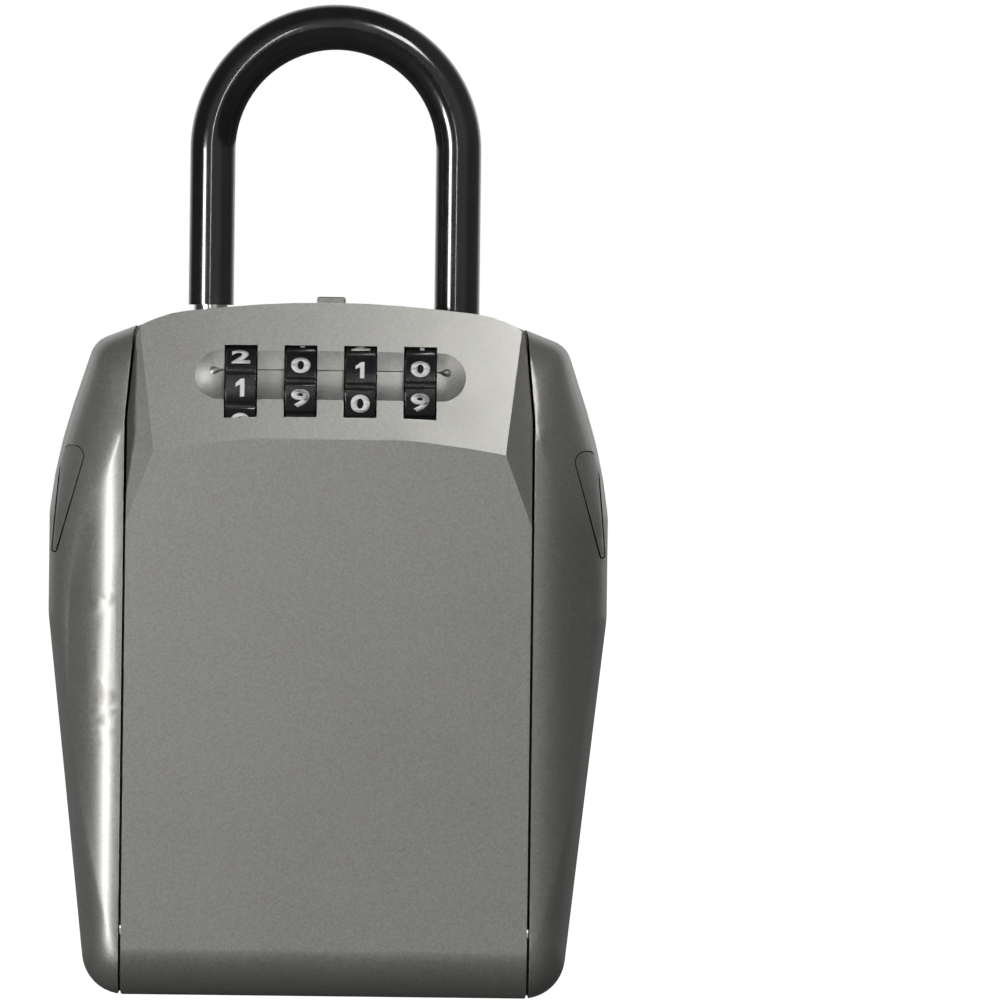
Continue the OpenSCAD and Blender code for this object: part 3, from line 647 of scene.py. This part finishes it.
def filled_white(name, colour):
    """White filling of the numbers."""
    material, tree, shader, vector = new_material(name)
    skin = effect(tree, "flake", vector, Scale=3200.0)
    marks = effect(tree, "handling", vector, Scale=300.0)
    tone = mix_colour(tree, marks.outputs["Mask"], tuple(colour), shade(colour, 0.86))
    surface(tree, shader, tone, spread(tree, skin.outputs["Mask"], 0.38, 0.52))
    add_bump(tree, shader, skin.outputs["Height"], 0.1)
    return material


FINISHES = {}


def finish(name):
    """One of the finishes of this box, made the first time it is asked for."""
    if name in FINISHES:
        return FINISHES[name]
    paint, _, dials, _ = looks()
    grey = tuple(paint.colour)
    flake = paint.flake_size
    rough = paint.roughness
    makers = {
        "case_paint": lambda: sprayed_paint("case_paint", grey, flake, rough),
        "door_paint": lambda: sprayed_paint("door_paint", grey, flake, rough, 1.03),
        "inlay_paint": lambda: sprayed_paint("inlay_paint", grey, flake, rough + 0.05, 0.93),
        "zinc": lambda: cast_zinc("bare_zinc"),
        "steel": lambda: drawn_steel("plated_steel"),
        "shackle_steel": lambda: drawn_steel("shackle_steel", 0.7, 0.16),
        "spring_steel": lambda: drawn_steel("spring_steel", 0.4, 0.3, (0.1, 1.0, 1.0)),
        "brass": lambda: stamped_brass("cam_brass"),
        "vinyl": lambda: black_plastic("sleeve_vinyl", tuple(dials.sleeve_colour), 0.15, 900.0, 0.04, 0.8),
        "dial_black": lambda: black_plastic("dial_black", tuple(dials.dial_colour), 0.24, 1600.0, 0.02, 0.3),
        "number_white": lambda: filled_white("number_white", tuple(dials.number_colour)),
    }
    FINISHES[name] = makers[name]()
    return FINISHES[name]


# ---------- case ----------

# The right half of the silhouette, as (across, up, radius) from the foot to the middle of the top
BODY_CORNERS = [
    (HALF_WIDTH - 8, 0, 8),
    (HALF_WIDTH + 2.2, BODY_TOP - 39.2, 95),
    (HALF_WIDTH - 8.2, BODY_TOP - 7.7, 5),
    (HALF_WIDTH - 22.6, BODY_TOP - 2.1, 40),
    (0, BODY_TOP + 1.05, 190),
]

# The crease between the scooped crescent and the outer band, as (across, up) from the foot up
CREASE_HALF = [
    (0, 5.5), (34, 5.5), (38.0, 7), (40.6, 14), (42.2, 20), (45.2, 33), (47.2, 45), (48.1, 55),
    (48.4, 66), (48.1, 76), (46.8, 84), (44.6, 91), (41.6, 99), (39.3, 105), (38.7, 110), (38.1, 116),
    (37.3, 121), (35.6, 123.6), (32, 125.6), (24, 127.4), (12, 128.7), (0, 129.2),
]

# The edge of the crescent inside the door's gap, in the same order
GAP_HALF = [
    (0, 9), (33, 9), (36.2, 11), (36.2, 60), (36.2, 104), (35.6, 116), (33.6, 120.4), (28, 122.6), (0, 125.4),
]

# Where the side of the wing starts to roll towards the front, by height
ROLL_START = [
    (0, -15.0), (8, -13.5), (20, -11.5), (40, -9.0), (66, -8.0), (88, -7.8), (104, -7.5), (116, -8.0),
    (124, -9.5), (132, -11.5),
]

# How full the roll is, by height: small values run straighter towards the crease
ROLL_FULLNESS = [
    (0, 0.95), (2, 0.95), (12, 0.6), (60, 0.6), (88, 0.3), (112, 0.3), (122, 0.45), (132, 0.6),
]

# The point that the rays between the silhouette and the crease run from
HEART = (0.0, 62.0)

# The softened back edge and the straight side, as (inset, how far back)
BACK_RINGS = [(1.6, BACK), (0.5, BACK - 0.45), (0.08, BACK - 1.2), (0.0, BACK - 2.0), (0.0, 6.0)]

# Points round the case, and rings across the outer band and across the crescent
LOOP_POINTS = 360
BAND_RINGS = 9
SCOOP_RINGS = 7
FOOT_ROLL = 8.0


def wing_front(x, z, scoop):
    """How far forward the wing reaches at one place, before its outer band."""
    y = WING_FRONT
    if z > CREASE:
        y += (z - CREASE) * LEAN
    if z < FOOT_ROLL:
        y += FOOT_ROLL - math.sqrt(max(0.0, FOOT_ROLL * FOOT_ROLL - (FOOT_ROLL - z) ** 2))
    away = max(0.0, abs(x) - DOOR_HALF - 0.5)
    return y + scoop * away * away


def mirrored(half):
    """A closed loop from its right half."""
    return half + [(-x, z) for x, z in reversed(half) if x > 0]


def ray_hit(loop, x, z):
    """Where the ray from the heart towards one point leaves a loop."""
    ox, oz = HEART
    dx, dz = x - ox, z - oz
    for (ax, az), (bx, bz) in zip(loop, loop[1:] + loop[:1]):
        ex, ez = bx - ax, bz - az
        cross = dx * ez - dz * ex
        if abs(cross) < 1e-12:
            continue
        along = ((ax - ox) * ez - (az - oz) * ex) / cross
        share = ((ax - ox) * dz - (az - oz) * dx) / cross
        if along > 0 and -1e-9 <= share <= 1 + 1e-9:
            return ox + dx * along, oz + dz * along
    raise RuntimeError("no place on the loop for %.1f, %.1f" % (x, z))


def softened(values, turns):
    """A closed row of values with its corners eased."""
    for _ in range(turns):
        after = values[1:] + values[:1]
        before = values[-1:] + values[:-1]
        values = [(a + 2 * b + c) / 4 for a, b, c in zip(before, values, after)]
    return values


def wing_rings(scoop):
    """Rings of points round the case, from the flat back over the side band and the crescent to the door."""
    outline = resampled(rounded(both_sides(BODY_CORNERS), 3), LOOP_POINTS)
    crease_loop = mirrored(CREASE_HALF)
    gap_loop = mirrored(GAP_HALF)
    stations = []
    for k, (x, z) in enumerate(outline):
        ax, az = outline[k - 1]
        bx, bz = outline[(k + 1) % LOOP_POINTS]
        tx, tz = unit(bx - ax, bz - az)
        x = max(-HALF_WIDTH, min(HALF_WIDTH, x))
        stations.append((x, z, -tz, tx))
    rings = []
    for inset, y in BACK_RINGS:
        rings.append([(x + nx * inset, y, z + nz * inset) for x, z, nx, nz in stations])
    creases = [ray_hit(crease_loop, x, z) for x, z, _, _ in stations]
    cxs = softened([x for x, _ in creases], 3)
    czs = softened([z for _, z in creases], 3)
    gaps = [ray_hit(gap_loop, x, z) for x, z, _, _ in stations]
    for step in range(BAND_RINGS + 1):
        share = step / BAND_RINGS
        ring = []
        for (x, z, _, _), cx, cz in zip(stations, cxs, czs):
            fold = blend_table(ROLL_FULLNESS, z)[0]
            deep = math.sqrt(1 - (1 - fold * share) ** 2) / math.sqrt(1 - (1 - fold) ** 2)
            start = blend_table(ROLL_START, z)[0]
            end = wing_front(cx, cz, scoop)
            ring.append((x + (cx - x) * share, start + (end - start) * deep, z + (cz - z) * share))
        rings.append(ring)
    for step in range(1, SCOOP_RINGS + 1):
        share = step / SCOOP_RINGS
        ring = []
        for (gx, gz), cx, cz in zip(gaps, cxs, czs):
            px = cx + (gx - cx) * share
            pz = cz + (gz - cz) * share
            ring.append((px, wing_front(px, pz, scoop), pz))
        rings.append(ring)
    return rings


def wing_form(name):
    """The true outer form of the case, as one solid."""
    _, form, _, _ = looks()
    return ring_solid(name, wing_rings(form.scoop))


class KEYBOX_OT_case(bpy.types.Operator):
    """Shapes the cast case: rolled wings with a scooped crescent beside the door"""

    bl_idname = "keybox.case"
    bl_label = "Case"

    def execute(self, context):
        paint, _, _, _ = looks()
        case = copy_of("case_shell", "case_body")
        carve(case, wing_form("case_form"), 'INTERSECT')
        simplify(case)
        break_edges(case, paint.edge_radius)
        case.data.materials.append(finish("case_paint"))
        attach(case, "case")
        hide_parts("case_shell")
        return {'FINISHED'}


class KEYBOX_OT_inlays(bpy.types.Operator):
    """Shapes the teardrop inlays at the shoulders of the wings"""

    bl_idname = "keybox.inlays"
    bl_label = "Side inlays"

    def execute(self, context):
        for side in ("left", "right"):
            inlay = copy_of("side_grip_" + side, "inlay_" + side)
            carve(inlay, wing_form("inlay_form"), 'INTERSECT')
            simplify(inlay)
            break_edges(inlay, 0.00022)
            inlay.data.materials.append(finish("inlay_paint"))
            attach(inlay, "case")
            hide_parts("side_grip_" + side)
        return {'FINISHED'}


# ---------- door ----------

# Half the trough's length, the radius of its section, and how far up the face it and the index line lie
TROUGH_HALF = 20.6
TROUGH_RADIUS = 14.0
TROUGH_RISE = 3.9
LINE_HEIGHT = 5.05
LINE_HALF = 21.6

# The middle of a pointer beside the box's middle, and half its length
POINTER_MIDDLE = (20.2 + 22.6) / 2
POINTER_HALF = (22.6 - 20.2) / 2

# How far the crowned face is set back at its middle, and the radius of the door's foot
FACE_SUNK = 0.06
FOOT_RADIUS = 9.0


def face_bow(x, radius):
    """How far the crowned dial face falls back at one distance from the middle."""
    return x * x / (2 * radius / MM)


def face_cutter(radius):
    """Everything in front of the crowned, leaning dial face."""
    low, high = CREASE - 9, BODY_TOP + 12
    columns = [-OUTSIDE + 2 * OUTSIDE * k / 48 for k in range(49)]

    def ring(z):
        edge = [(x, FRONT + FACE_SUNK + (z - CREASE) * LEAN + face_bow(x, radius), z) for x in columns]
        return edge + [(OUTSIDE, FRONT - 40, z), (-OUTSIDE, FRONT - 40, z)]

    return ring_solid("face_cutter", [ring(low), ring(high)])


def on_face(x, up, out):
    """A point of the leaning face: across, up the face from the dial shaft's height, and out of it."""
    centre, _ = dial_centre(1)
    y0 = FRONT + (centre.z - CREASE) * LEAN
    along = Vector((0, math.sin(SLANT), math.cos(SLANT)))
    outward = Vector((0, -math.cos(SLANT), math.sin(SLANT)))
    return Vector((x, y0, centre.z)) + along * up + outward * out


def trough_cutter(form):
    """A long rounded tool that leaves the shallow trough with round ends."""
    centre_out = TROUGH_RADIUS - form.trough_depth / MM
    clear_selection()
    bpy.ops.mesh.primitive_uv_sphere_add(segments=96, ring_count=64, radius=TROUGH_RADIUS * MM)
    tool = bpy.context.object
    tool.name = "trough_cutter"
    edit_all()
    mesh = bmesh.from_edit_mesh(tool.data)
    bmesh.ops.rotate(mesh, verts=mesh.verts, cent=(0, 0, 0), matrix=Matrix.Rotation(math.pi / 2, 3, 'Y'))
    for vertex in mesh.verts:
        if vertex.co.x > 1e-6:
            vertex.co.x += TROUGH_HALF * MM
        elif vertex.co.x < -1e-6:
            vertex.co.x -= TROUGH_HALF * MM
    for k in range(-6, 7):
        cut = mesh.verts[:] + mesh.edges[:] + mesh.faces[:]
        bmesh.ops.bisect_plane(mesh, geom=cut, plane_co=(k * 3 * MM, 0, 0), plane_no=(1, 0, 0))
    for vertex in mesh.verts:
        x, y, up = (part / MM for part in vertex.co)
        bow = face_bow(x, form.face_radius) * math.cos(SLANT)
        vertex.co = on_face(x, TROUGH_RISE + up, centre_out - y - bow) * MM
    bmesh.update_edit_mesh(tool.data)
    face_outwards()
    return tool


def line_cutter(form):
    """A thin bar that cuts the index line along the bottom of the trough."""
    half = form.line_width / MM / 2
    rings = []
    for k in range(25):
        x = -LINE_HALF + 2 * LINE_HALF * k / 24
        bow = face_bow(x, form.face_radius) * math.cos(SLANT)
        near = -form.trough_depth / MM - 0.28 - bow
        rings.append([on_face(x, LINE_HEIGHT - half, near), on_face(x, LINE_HEIGHT + half, near),
                      on_face(x, LINE_HEIGHT + half, 1.0), on_face(x, LINE_HEIGHT - half, 1.0)])
    return ring_solid("line_cutter", rings)


def foot_cutter():
    """Everything outside the rounded foot of the door, so that nothing stands out of it."""
    middle = FRONT + FOOT_RADIUS
    profile = [(FRONT - 6, -5), (middle, -5)]
    for k in range(25):
        turn = math.radians(90 * k / 24)
        profile.append((middle - FOOT_RADIUS * math.sin(turn), FOOT_RADIUS - FOOT_RADIUS * math.cos(turn)))
    profile.append((FRONT - 6, FOOT_RADIUS))
    return ring_solid("foot_cutter", [[(x, y, z) for y, z in profile] for x in (-OUTSIDE, OUTSIDE)])


def paint_door(door):
    """Paint outside and on the ribs, bare casting on the pockets' floors and on the hinge cheeks."""
    door.data.materials.append(finish("door_paint"))
    door.data.materials.append(finish("zinc"))
    pocket = FRONT + 3.0
    for face in door.data.polygons:
        centre = face.center / MM
        floor = abs(centre.y - pocket) < 0.35 and face.normal.y > 0.7 and centre.z < CREASE - 8
        hinged = 19.9 < abs(centre.x) < 34.9 and centre.z < 9.2
        cheek = hinged and centre.y > FRONT + 8.5 and face.normal.z > -0.7
        if floor or cheek:
            face.material_index = 1


class KEYBOX_OT_door(bpy.types.Operator):
    """Shapes the door: crowned dial face, trough, index line and softened edges"""

    bl_idname = "keybox.door"
    bl_label = "Door"

    def execute(self, context):
        paint, form, _, _ = looks()
        door = copy_of("door_shell", "door_panel")
        carve(door, face_cutter(form.face_radius))
        carve(door, trough_cutter(form))
        carve(door, line_cutter(form))
        carve(door, foot_cutter())
        simplify(door)
        break_edges(door, paint.edge_radius, 30, 2, 13)
        paint_door(door)
        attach(door, "door")
        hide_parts("door_shell")
        return {'FINISHED'}


class KEYBOX_OT_pointers(bpy.types.Operator):
    """Raises the two small pointers at the ends of the trough"""

    bl_idname = "keybox.pointers"
    bl_label = "Pointers"

    def execute(self, context):
        _, form, _, _ = looks()
        for side, name in ((-1, "pointer_left"), (1, "pointer_right")):
            rings = []
            for share, lift in ((0.0, 0.0), (0.55, 0.24), (1.0, 0.42)):
                ring = []
                for k in range(20):
                    turn = 2 * math.pi * k / 20
                    across = math.cos(turn)
                    long = POINTER_MIDDLE + POINTER_HALF * across * (1 - 0.6 * share)
                    wide = 1.15 * math.sin(turn) * (1 - 0.7 * share) * (0.55 + 0.45 * across)
                    bow = face_bow(long, form.face_radius)
                    drop = 0.75 - 0.03 * max(0.0, long - TROUGH_HALF) ** 2
                    ring.append(on_face(side * long, LINE_HEIGHT + wide, lift - drop - bow))
                rings.append(ring)
            pointer = ring_solid(name, rings)
            smooth(pointer, 50)
            pointer.data.materials.append(finish("door_paint"))
            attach(pointer, "door")
        return {'FINISHED'}


# ---------- dials ----------

# Turn of each dial: the angle of its 0 above the shaft's height, in degrees
ZERO_ANGLE = [-28.9, 32.7, -8.2, 29.7]

# Widest number of the built-in font at size one, and how far a number stands off the dial, in millimetres
WIDEST = 0.6
NUMBER_LIFT = 0.01
NUMBER_THICK = 0.05


def flag_one(dials):
    """The number one with its flag, as a flat mesh in millimetres."""
    half = dials.number_height / MM / 2
    outline = [(-0.95, 0.1), (-0.1, 0.55), (-0.1, -half), (0.72, -half), (0.72, half), (0.1, half),
               (-0.95, 0.8)]
    data = bpy.data.meshes.new("one")
    data.from_pydata([(x, 0, z) for x, z in outline], [], [tuple(range(len(outline)))])
    return placed("one", data)


def number_outline(value, dials):
    """One number as a thin flat mesh in millimetres, centred, facing forward."""
    if value == 1:
        return flag_one(dials)
    clear_selection()
    bpy.ops.object.text_add()
    text = bpy.context.object
    text.data.body = str(value)
    text.data.size = 1.0
    text.data.offset = 0.036
    text.data.resolution_u = 6
    bpy.ops.object.convert(target='MESH')
    obj = bpy.context.object
    xs = [v.co.x for v in obj.data.vertices]
    ys = [v.co.y for v in obj.data.vertices]
    # all are stretched alike across, so the narrower ones keep their shape beside the widest
    sx = dials.number_width / MM / WIDEST
    sy = dials.number_height / MM / (max(ys) - min(ys))
    mx, my = (max(xs) + min(xs)) / 2, (max(ys) + min(ys)) / 2
    for vertex in obj.data.vertices:
        vertex.co = Vector(((vertex.co.x - mx) * sx, 0, (vertex.co.y - my) * sy))
    return obj


def wrap_number(flat, centre, radius, degrees):
    """Bends a flat number round the dial at one angle and gives it its thickness."""
    mesh = bmesh.new()
    mesh.from_mesh(flat.data)
    bmesh.ops.remove_doubles(mesh, verts=mesh.verts, dist=1e-4)
    for k in range(-4, 5):
        cut = mesh.verts[:] + mesh.edges[:] + mesh.faces[:]
        bmesh.ops.bisect_plane(mesh, geom=cut, plane_co=(0, 0, k * 0.4), plane_no=(0, 0, 1))
    for face in mesh.faces:
        face.normal_update()
    for vertex in mesh.verts:
        angle = math.radians(degrees) + vertex.co.z / radius
        reach = radius + NUMBER_LIFT
        y = centre.y - reach * math.cos(angle)
        z = centre.z + reach * math.sin(angle)
        vertex.co = Vector((centre.x + vertex.co.x, y, z)) * MM
    made = bmesh.ops.extrude_face_region(mesh, geom=mesh.faces[:])
    raised = [part for part in made["geom"] if isinstance(part, bmesh.types.BMVert)]
    middle = Vector((0, centre.y, centre.z)) * MM
    for vertex in raised:
        out = Vector((0, vertex.co.y, vertex.co.z)) - middle
        vertex.co += out.normalized() * NUMBER_THICK * MM
    bmesh.ops.recalc_face_normals(mesh, faces=mesh.faces[:])
    return mesh


class KEYBOX_OT_dials(bpy.types.Operator):
    """Softens the edges of the four dials"""

    bl_idname = "keybox.dials"
    bl_label = "Dials"

    def execute(self, context):
        for number in range(1, DIAL_COUNT + 1):
            dial = copy_of("dial_wheel_%d" % number, "dial_ring_%d" % number)
            simplify(dial, 0.2)
            break_edges(dial, 0.0002, 25)
            dial.data.materials.append(finish("dial_black"))
            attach(dial, "dial_%d" % number)
            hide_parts("dial_wheel_%d" % number)
        return {'FINISHED'}


class KEYBOX_OT_numbers(bpy.types.Operator):
    """Sets the numbers 0 to 9 round each dial"""

    bl_idname = "keybox.numbers"
    bl_label = "Numbers"

    def execute(self, context):
        _, _, dials, _ = looks()
        flats = [number_outline(value, dials) for value in range(10)]
        for number in range(1, DIAL_COUNT + 1):
            centre, radius = dial_centre(number)
            whole = bmesh.new()
            for value, flat in enumerate(flats):
                part = wrap_number(flat, centre, radius, ZERO_ANGLE[number - 1] + 36 * value)
                held = bpy.data.meshes.new("held")
                part.to_mesh(held)
                part.free()
                whole.from_mesh(held)
                bpy.data.meshes.remove(held)
            data = bpy.data.meshes.new("dial_numbers_%d" % number)
            whole.to_mesh(data)
            whole.free()
            ring = placed("dial_numbers_%d" % number, data)
            ring.data.materials.append(finish("number_white"))
            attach(ring, "dial_%d" % number)
        for flat in flats:
            bpy.data.objects.remove(flat, do_unlink=True)
        return {'FINISHED'}


# ---------- release tab and the fittings ----------


class KEYBOX_OT_release_tab(bpy.types.Operator):
    """Rounds the release tab that stands out of the top of the door"""

    bl_idname = "keybox.release_tab"
    bl_label = "Release tab"

    def execute(self, context):
        tab = copy_of("release_tab", "tab_button")
        simplify(tab)
        break_edges(tab, 0.00045, 35, 3)
        tab.data.materials.append(finish("door_paint"))
        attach(tab, "latch")
        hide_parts("release_tab")
        return {'FINISHED'}


FITTINGS = {
    "zinc": ("lock_housing", "mechanism_cover"),
    "case_paint": ("lock_cover", "cover_rivets"),
    "steel": ("hinge_pin", "shackle_bolt", "release_pin", "retaining_collar", "cover_screws", "dial_shaft",
              "latch_slider", "reset_lever"),
    "spring_steel": ("hinge_spring_left", "hinge_spring_right", "bolt_spring", "slider_springs"),
    "shackle_steel": ("shackle_bar",),
    "vinyl": ("shackle_sleeve",),
    "brass": ("detent_spring", "dial_cam_1", "dial_cam_2", "dial_cam_3", "dial_cam_4"),
}


class KEYBOX_OT_fittings(bpy.types.Operator):
    """Gives the lock parts, springs, pins and the shackle their metals and plastics"""

    bl_idname = "keybox.fittings"
    bl_label = "Fittings"

    def execute(self, context):
        for look, nodes in FITTINGS.items():
            for node in nodes:
                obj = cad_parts[node]
                if not obj.material_slots:
                    raise RuntimeError("%s has no material slot" % node)
                for place in obj.material_slots:
                    place.material = finish(look)
        return {'FINISHED'}


class KEYBOX_OT_springs(bpy.types.Operator):
    """Gives the slider springs and the bolt spring smooth copies in spring steel that ride on the door and
    the case
    """

    bl_idname = "keybox.springs"
    bl_label = "Springs"

    def execute(self, context):
        for node, name, body, joint, axis, travel in (
                ("slider_springs", "slider_coils", "door", "latch_slide", Vector((0, 0, 1)), 1.7),
                ("bolt_spring", "bolt_coil", "case", "bolt_draw", Vector((1, 0, 0)), 2.2)):
            coil = copy_of(node, name)
            smooth(coil, 60)
            coil.data.materials.append(finish("spring_steel"))
            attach(coil, body)
            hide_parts(node)
            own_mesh(coil)
        return {'FINISHED'}


# ---------- stage ----------


# Height of the floor, which leaves room for the open door, and the middle of the box, in metres
FLOOR_HEIGHT = -0.036
MIDDLE = Vector((0, 0, 0.07))

# Width of the view at the box, in metres, and the camera's roll
VIEW_WIDTH = 0.1878
CAMERA_ROLL = math.radians(0.7)


def soft_light(name, azimuth, elevation, distance, width, height, power, aim=MIDDLE):
    """A rectangular softbox that faces the box."""
    turn = math.radians(azimuth)
    rise = math.radians(elevation)
    flat = math.cos(rise)
    place = aim + distance * Vector((math.sin(turn) * flat, -math.cos(turn) * flat, math.sin(rise)))
    lamp = bpy.data.lights.new(name, 'AREA')
    lamp.shape = 'RECTANGLE'
    lamp.size = width
    lamp.size_y = height
    lamp.energy = power
    obj = placed(name, lamp)
    obj.location = place
    obj.rotation_euler = (aim - place).to_track_quat('-Z', 'Y').to_euler()


def studio_world(surround):
    """A room that is grey in front, dark beside and bright behind, and white to the camera."""
    world = bpy.data.worlds.new("pale_room")
    world.use_nodes = True
    tree = world.node_tree
    back = tree.nodes["Background"]
    where = tree.nodes.new('ShaderNodeTexCoord')
    split = tree.nodes.new('ShaderNodeSeparateXYZ')
    tree.links.new(where.outputs["Generated"], split.inputs[0])
    front = ramp_node(tree, split.outputs["Y"], -0.98, -0.55, surround, 0.05)
    behind = math_node(tree, 'MULTIPLY', ramp_node(tree, split.outputs["Y"], 0.4, 0.85), 0.75)
    right = math_node(tree, 'MULTIPLY', ramp_node(tree, split.outputs["X"], 0.15, 0.7), 0.13)
    room = math_node(tree, 'ADD', math_node(tree, 'ADD', front, behind), right)
    seen = tree.nodes.new('ShaderNodeLightPath')
    choose = tree.nodes.new('ShaderNodeMix')
    choose.data_type = 'FLOAT'
    tree.links.new(seen.outputs["Is Camera Ray"], choose.inputs[0])
    tree.links.new(room, choose.inputs[2])
    choose.inputs[3].default_value = 1.0
    tree.links.new(choose.outputs[0], back.inputs["Strength"])
    back.inputs["Color"].default_value = (1, 1, 1, 1)
    bpy.context.scene.world = world


class KEYBOX_OT_stage(bpy.types.Operator):
    """Sets up the pale floor, the soft lights and the camera"""

    bl_idname = "keybox.stage"
    bl_label = "Stage"

    def execute(self, context):
        _, _, _, stage = looks()
        clear_selection()
        bpy.ops.mesh.primitive_plane_add(size=40, location=(0, 0, FLOOR_HEIGHT))
        floor = context.object
        floor.name = "floor"
        material, tree, shader, vector = new_material("pale_floor")
        marks = effect(tree, "handling", vector, Scale=6.0)
        tree.links.new(mix_colour(tree, marks.outputs["Mask"], (0.16, 0.16, 0.16), (0.13, 0.13, 0.13)),
                       shader.inputs["Base Color"])
        shader.inputs["Roughness"].default_value = 0.9
        shader.inputs["Emission Color"].default_value = (1, 1, 1, 1)
        seen = tree.nodes.new('ShaderNodeLightPath')
        tree.links.new(seen.outputs["Is Camera Ray"], shader.inputs["Emission Strength"])
        floor.data.materials.append(material)
        shoulder = MIDDLE + Vector((0.04, 0, 0.045))
        soft_light("left_softbox", -42, -2, 0.85, 0.2, 0.3, stage.left_power)
        soft_light("upper_right_softbox", 15, 35, 0.6, 0.14, 0.14, stage.top_power, shoulder)
        soft_light("front_strip", -8, 14, 1.5, 0.05, 0.6, stage.strip_power)
        studio_world(stage.surround)
        lens = bpy.data.cameras.new("camera")
        lens.sensor_width = 36
        lens.lens = lens.sensor_width * stage.distance / VIEW_WIDTH
        lens.clip_end = 60
        camera = placed("camera", lens)
        target = Vector((0.0321, -0.012, 0.0935))
        camera.location = (0.0, -stage.distance - 0.012, 0.1)
        turn = (target - camera.location).to_track_quat('-Z', 'Y').to_matrix()
        camera.rotation_euler = (turn @ Matrix.Rotation(CAMERA_ROLL, 3, 'Z')).to_euler()
        context.scene.camera = camera
        context.scene.view_settings.view_transform = 'Standard'
        return {'FINISHED'}


# ---------- panel and registration ----------

STEPS = ("stage", "case", "inlays", "door", "pointers", "dials", "numbers", "release_tab", "fittings",
         "springs")


class KEYBOX_PT_panel(bpy.types.Panel):
    """Lists the pieces of the lock box and their settings"""

    bl_label = "Lock Box"
    bl_idname = "KEYBOX_PT_panel"
    bl_space_type = 'VIEW_3D'
    bl_region_type = 'UI'
    bl_category = "Lock Box"

    def draw(self, context):
        for group in looks():
            box = self.layout.box()
            for prop in group.bl_rna.properties:
                if prop.identifier not in {"rna_type", "name"}:
                    box.prop(group, prop.identifier)
        for step in STEPS:
            self.layout.operator("keybox." + step)


SETTINGS = {"keybox_paint": PaintLook, "keybox_form": FormSizes, "keybox_dials": DialLook,
            "keybox_stage": StageLook}

CLASSES = (*SETTINGS.values(), KEYBOX_OT_stage, KEYBOX_OT_case, KEYBOX_OT_inlays, KEYBOX_OT_door,
           KEYBOX_OT_pointers, KEYBOX_OT_dials, KEYBOX_OT_numbers, KEYBOX_OT_release_tab, KEYBOX_OT_fittings,
           KEYBOX_OT_springs, KEYBOX_PT_panel)


def register():
    """Registers the settings, the operators and the panel."""
    for cls in CLASSES:
        bpy.utils.register_class(cls)
    for name, group in SETTINGS.items():
        setattr(bpy.types.Scene, name, bpy.props.PointerProperty(type=group))


def unregister():
    """Removes what register added."""
    for name in SETTINGS:
        delattr(bpy.types.Scene, name)
    for cls in reversed(CLASSES):
        bpy.utils.unregister_class(cls)


def main():
    """Builds the whole box."""
    register()
    bpy.ops.keybox.stage()
    bpy.ops.keybox.case()
    bpy.ops.keybox.inlays()
    bpy.ops.keybox.door()
    bpy.ops.keybox.pointers()
    bpy.ops.keybox.dials()
    bpy.ops.keybox.numbers()
    bpy.ops.keybox.release_tab()
    bpy.ops.keybox.fittings()
    bpy.ops.keybox.springs()
    clear_selection()


if __name__ == "__main__":
    main()
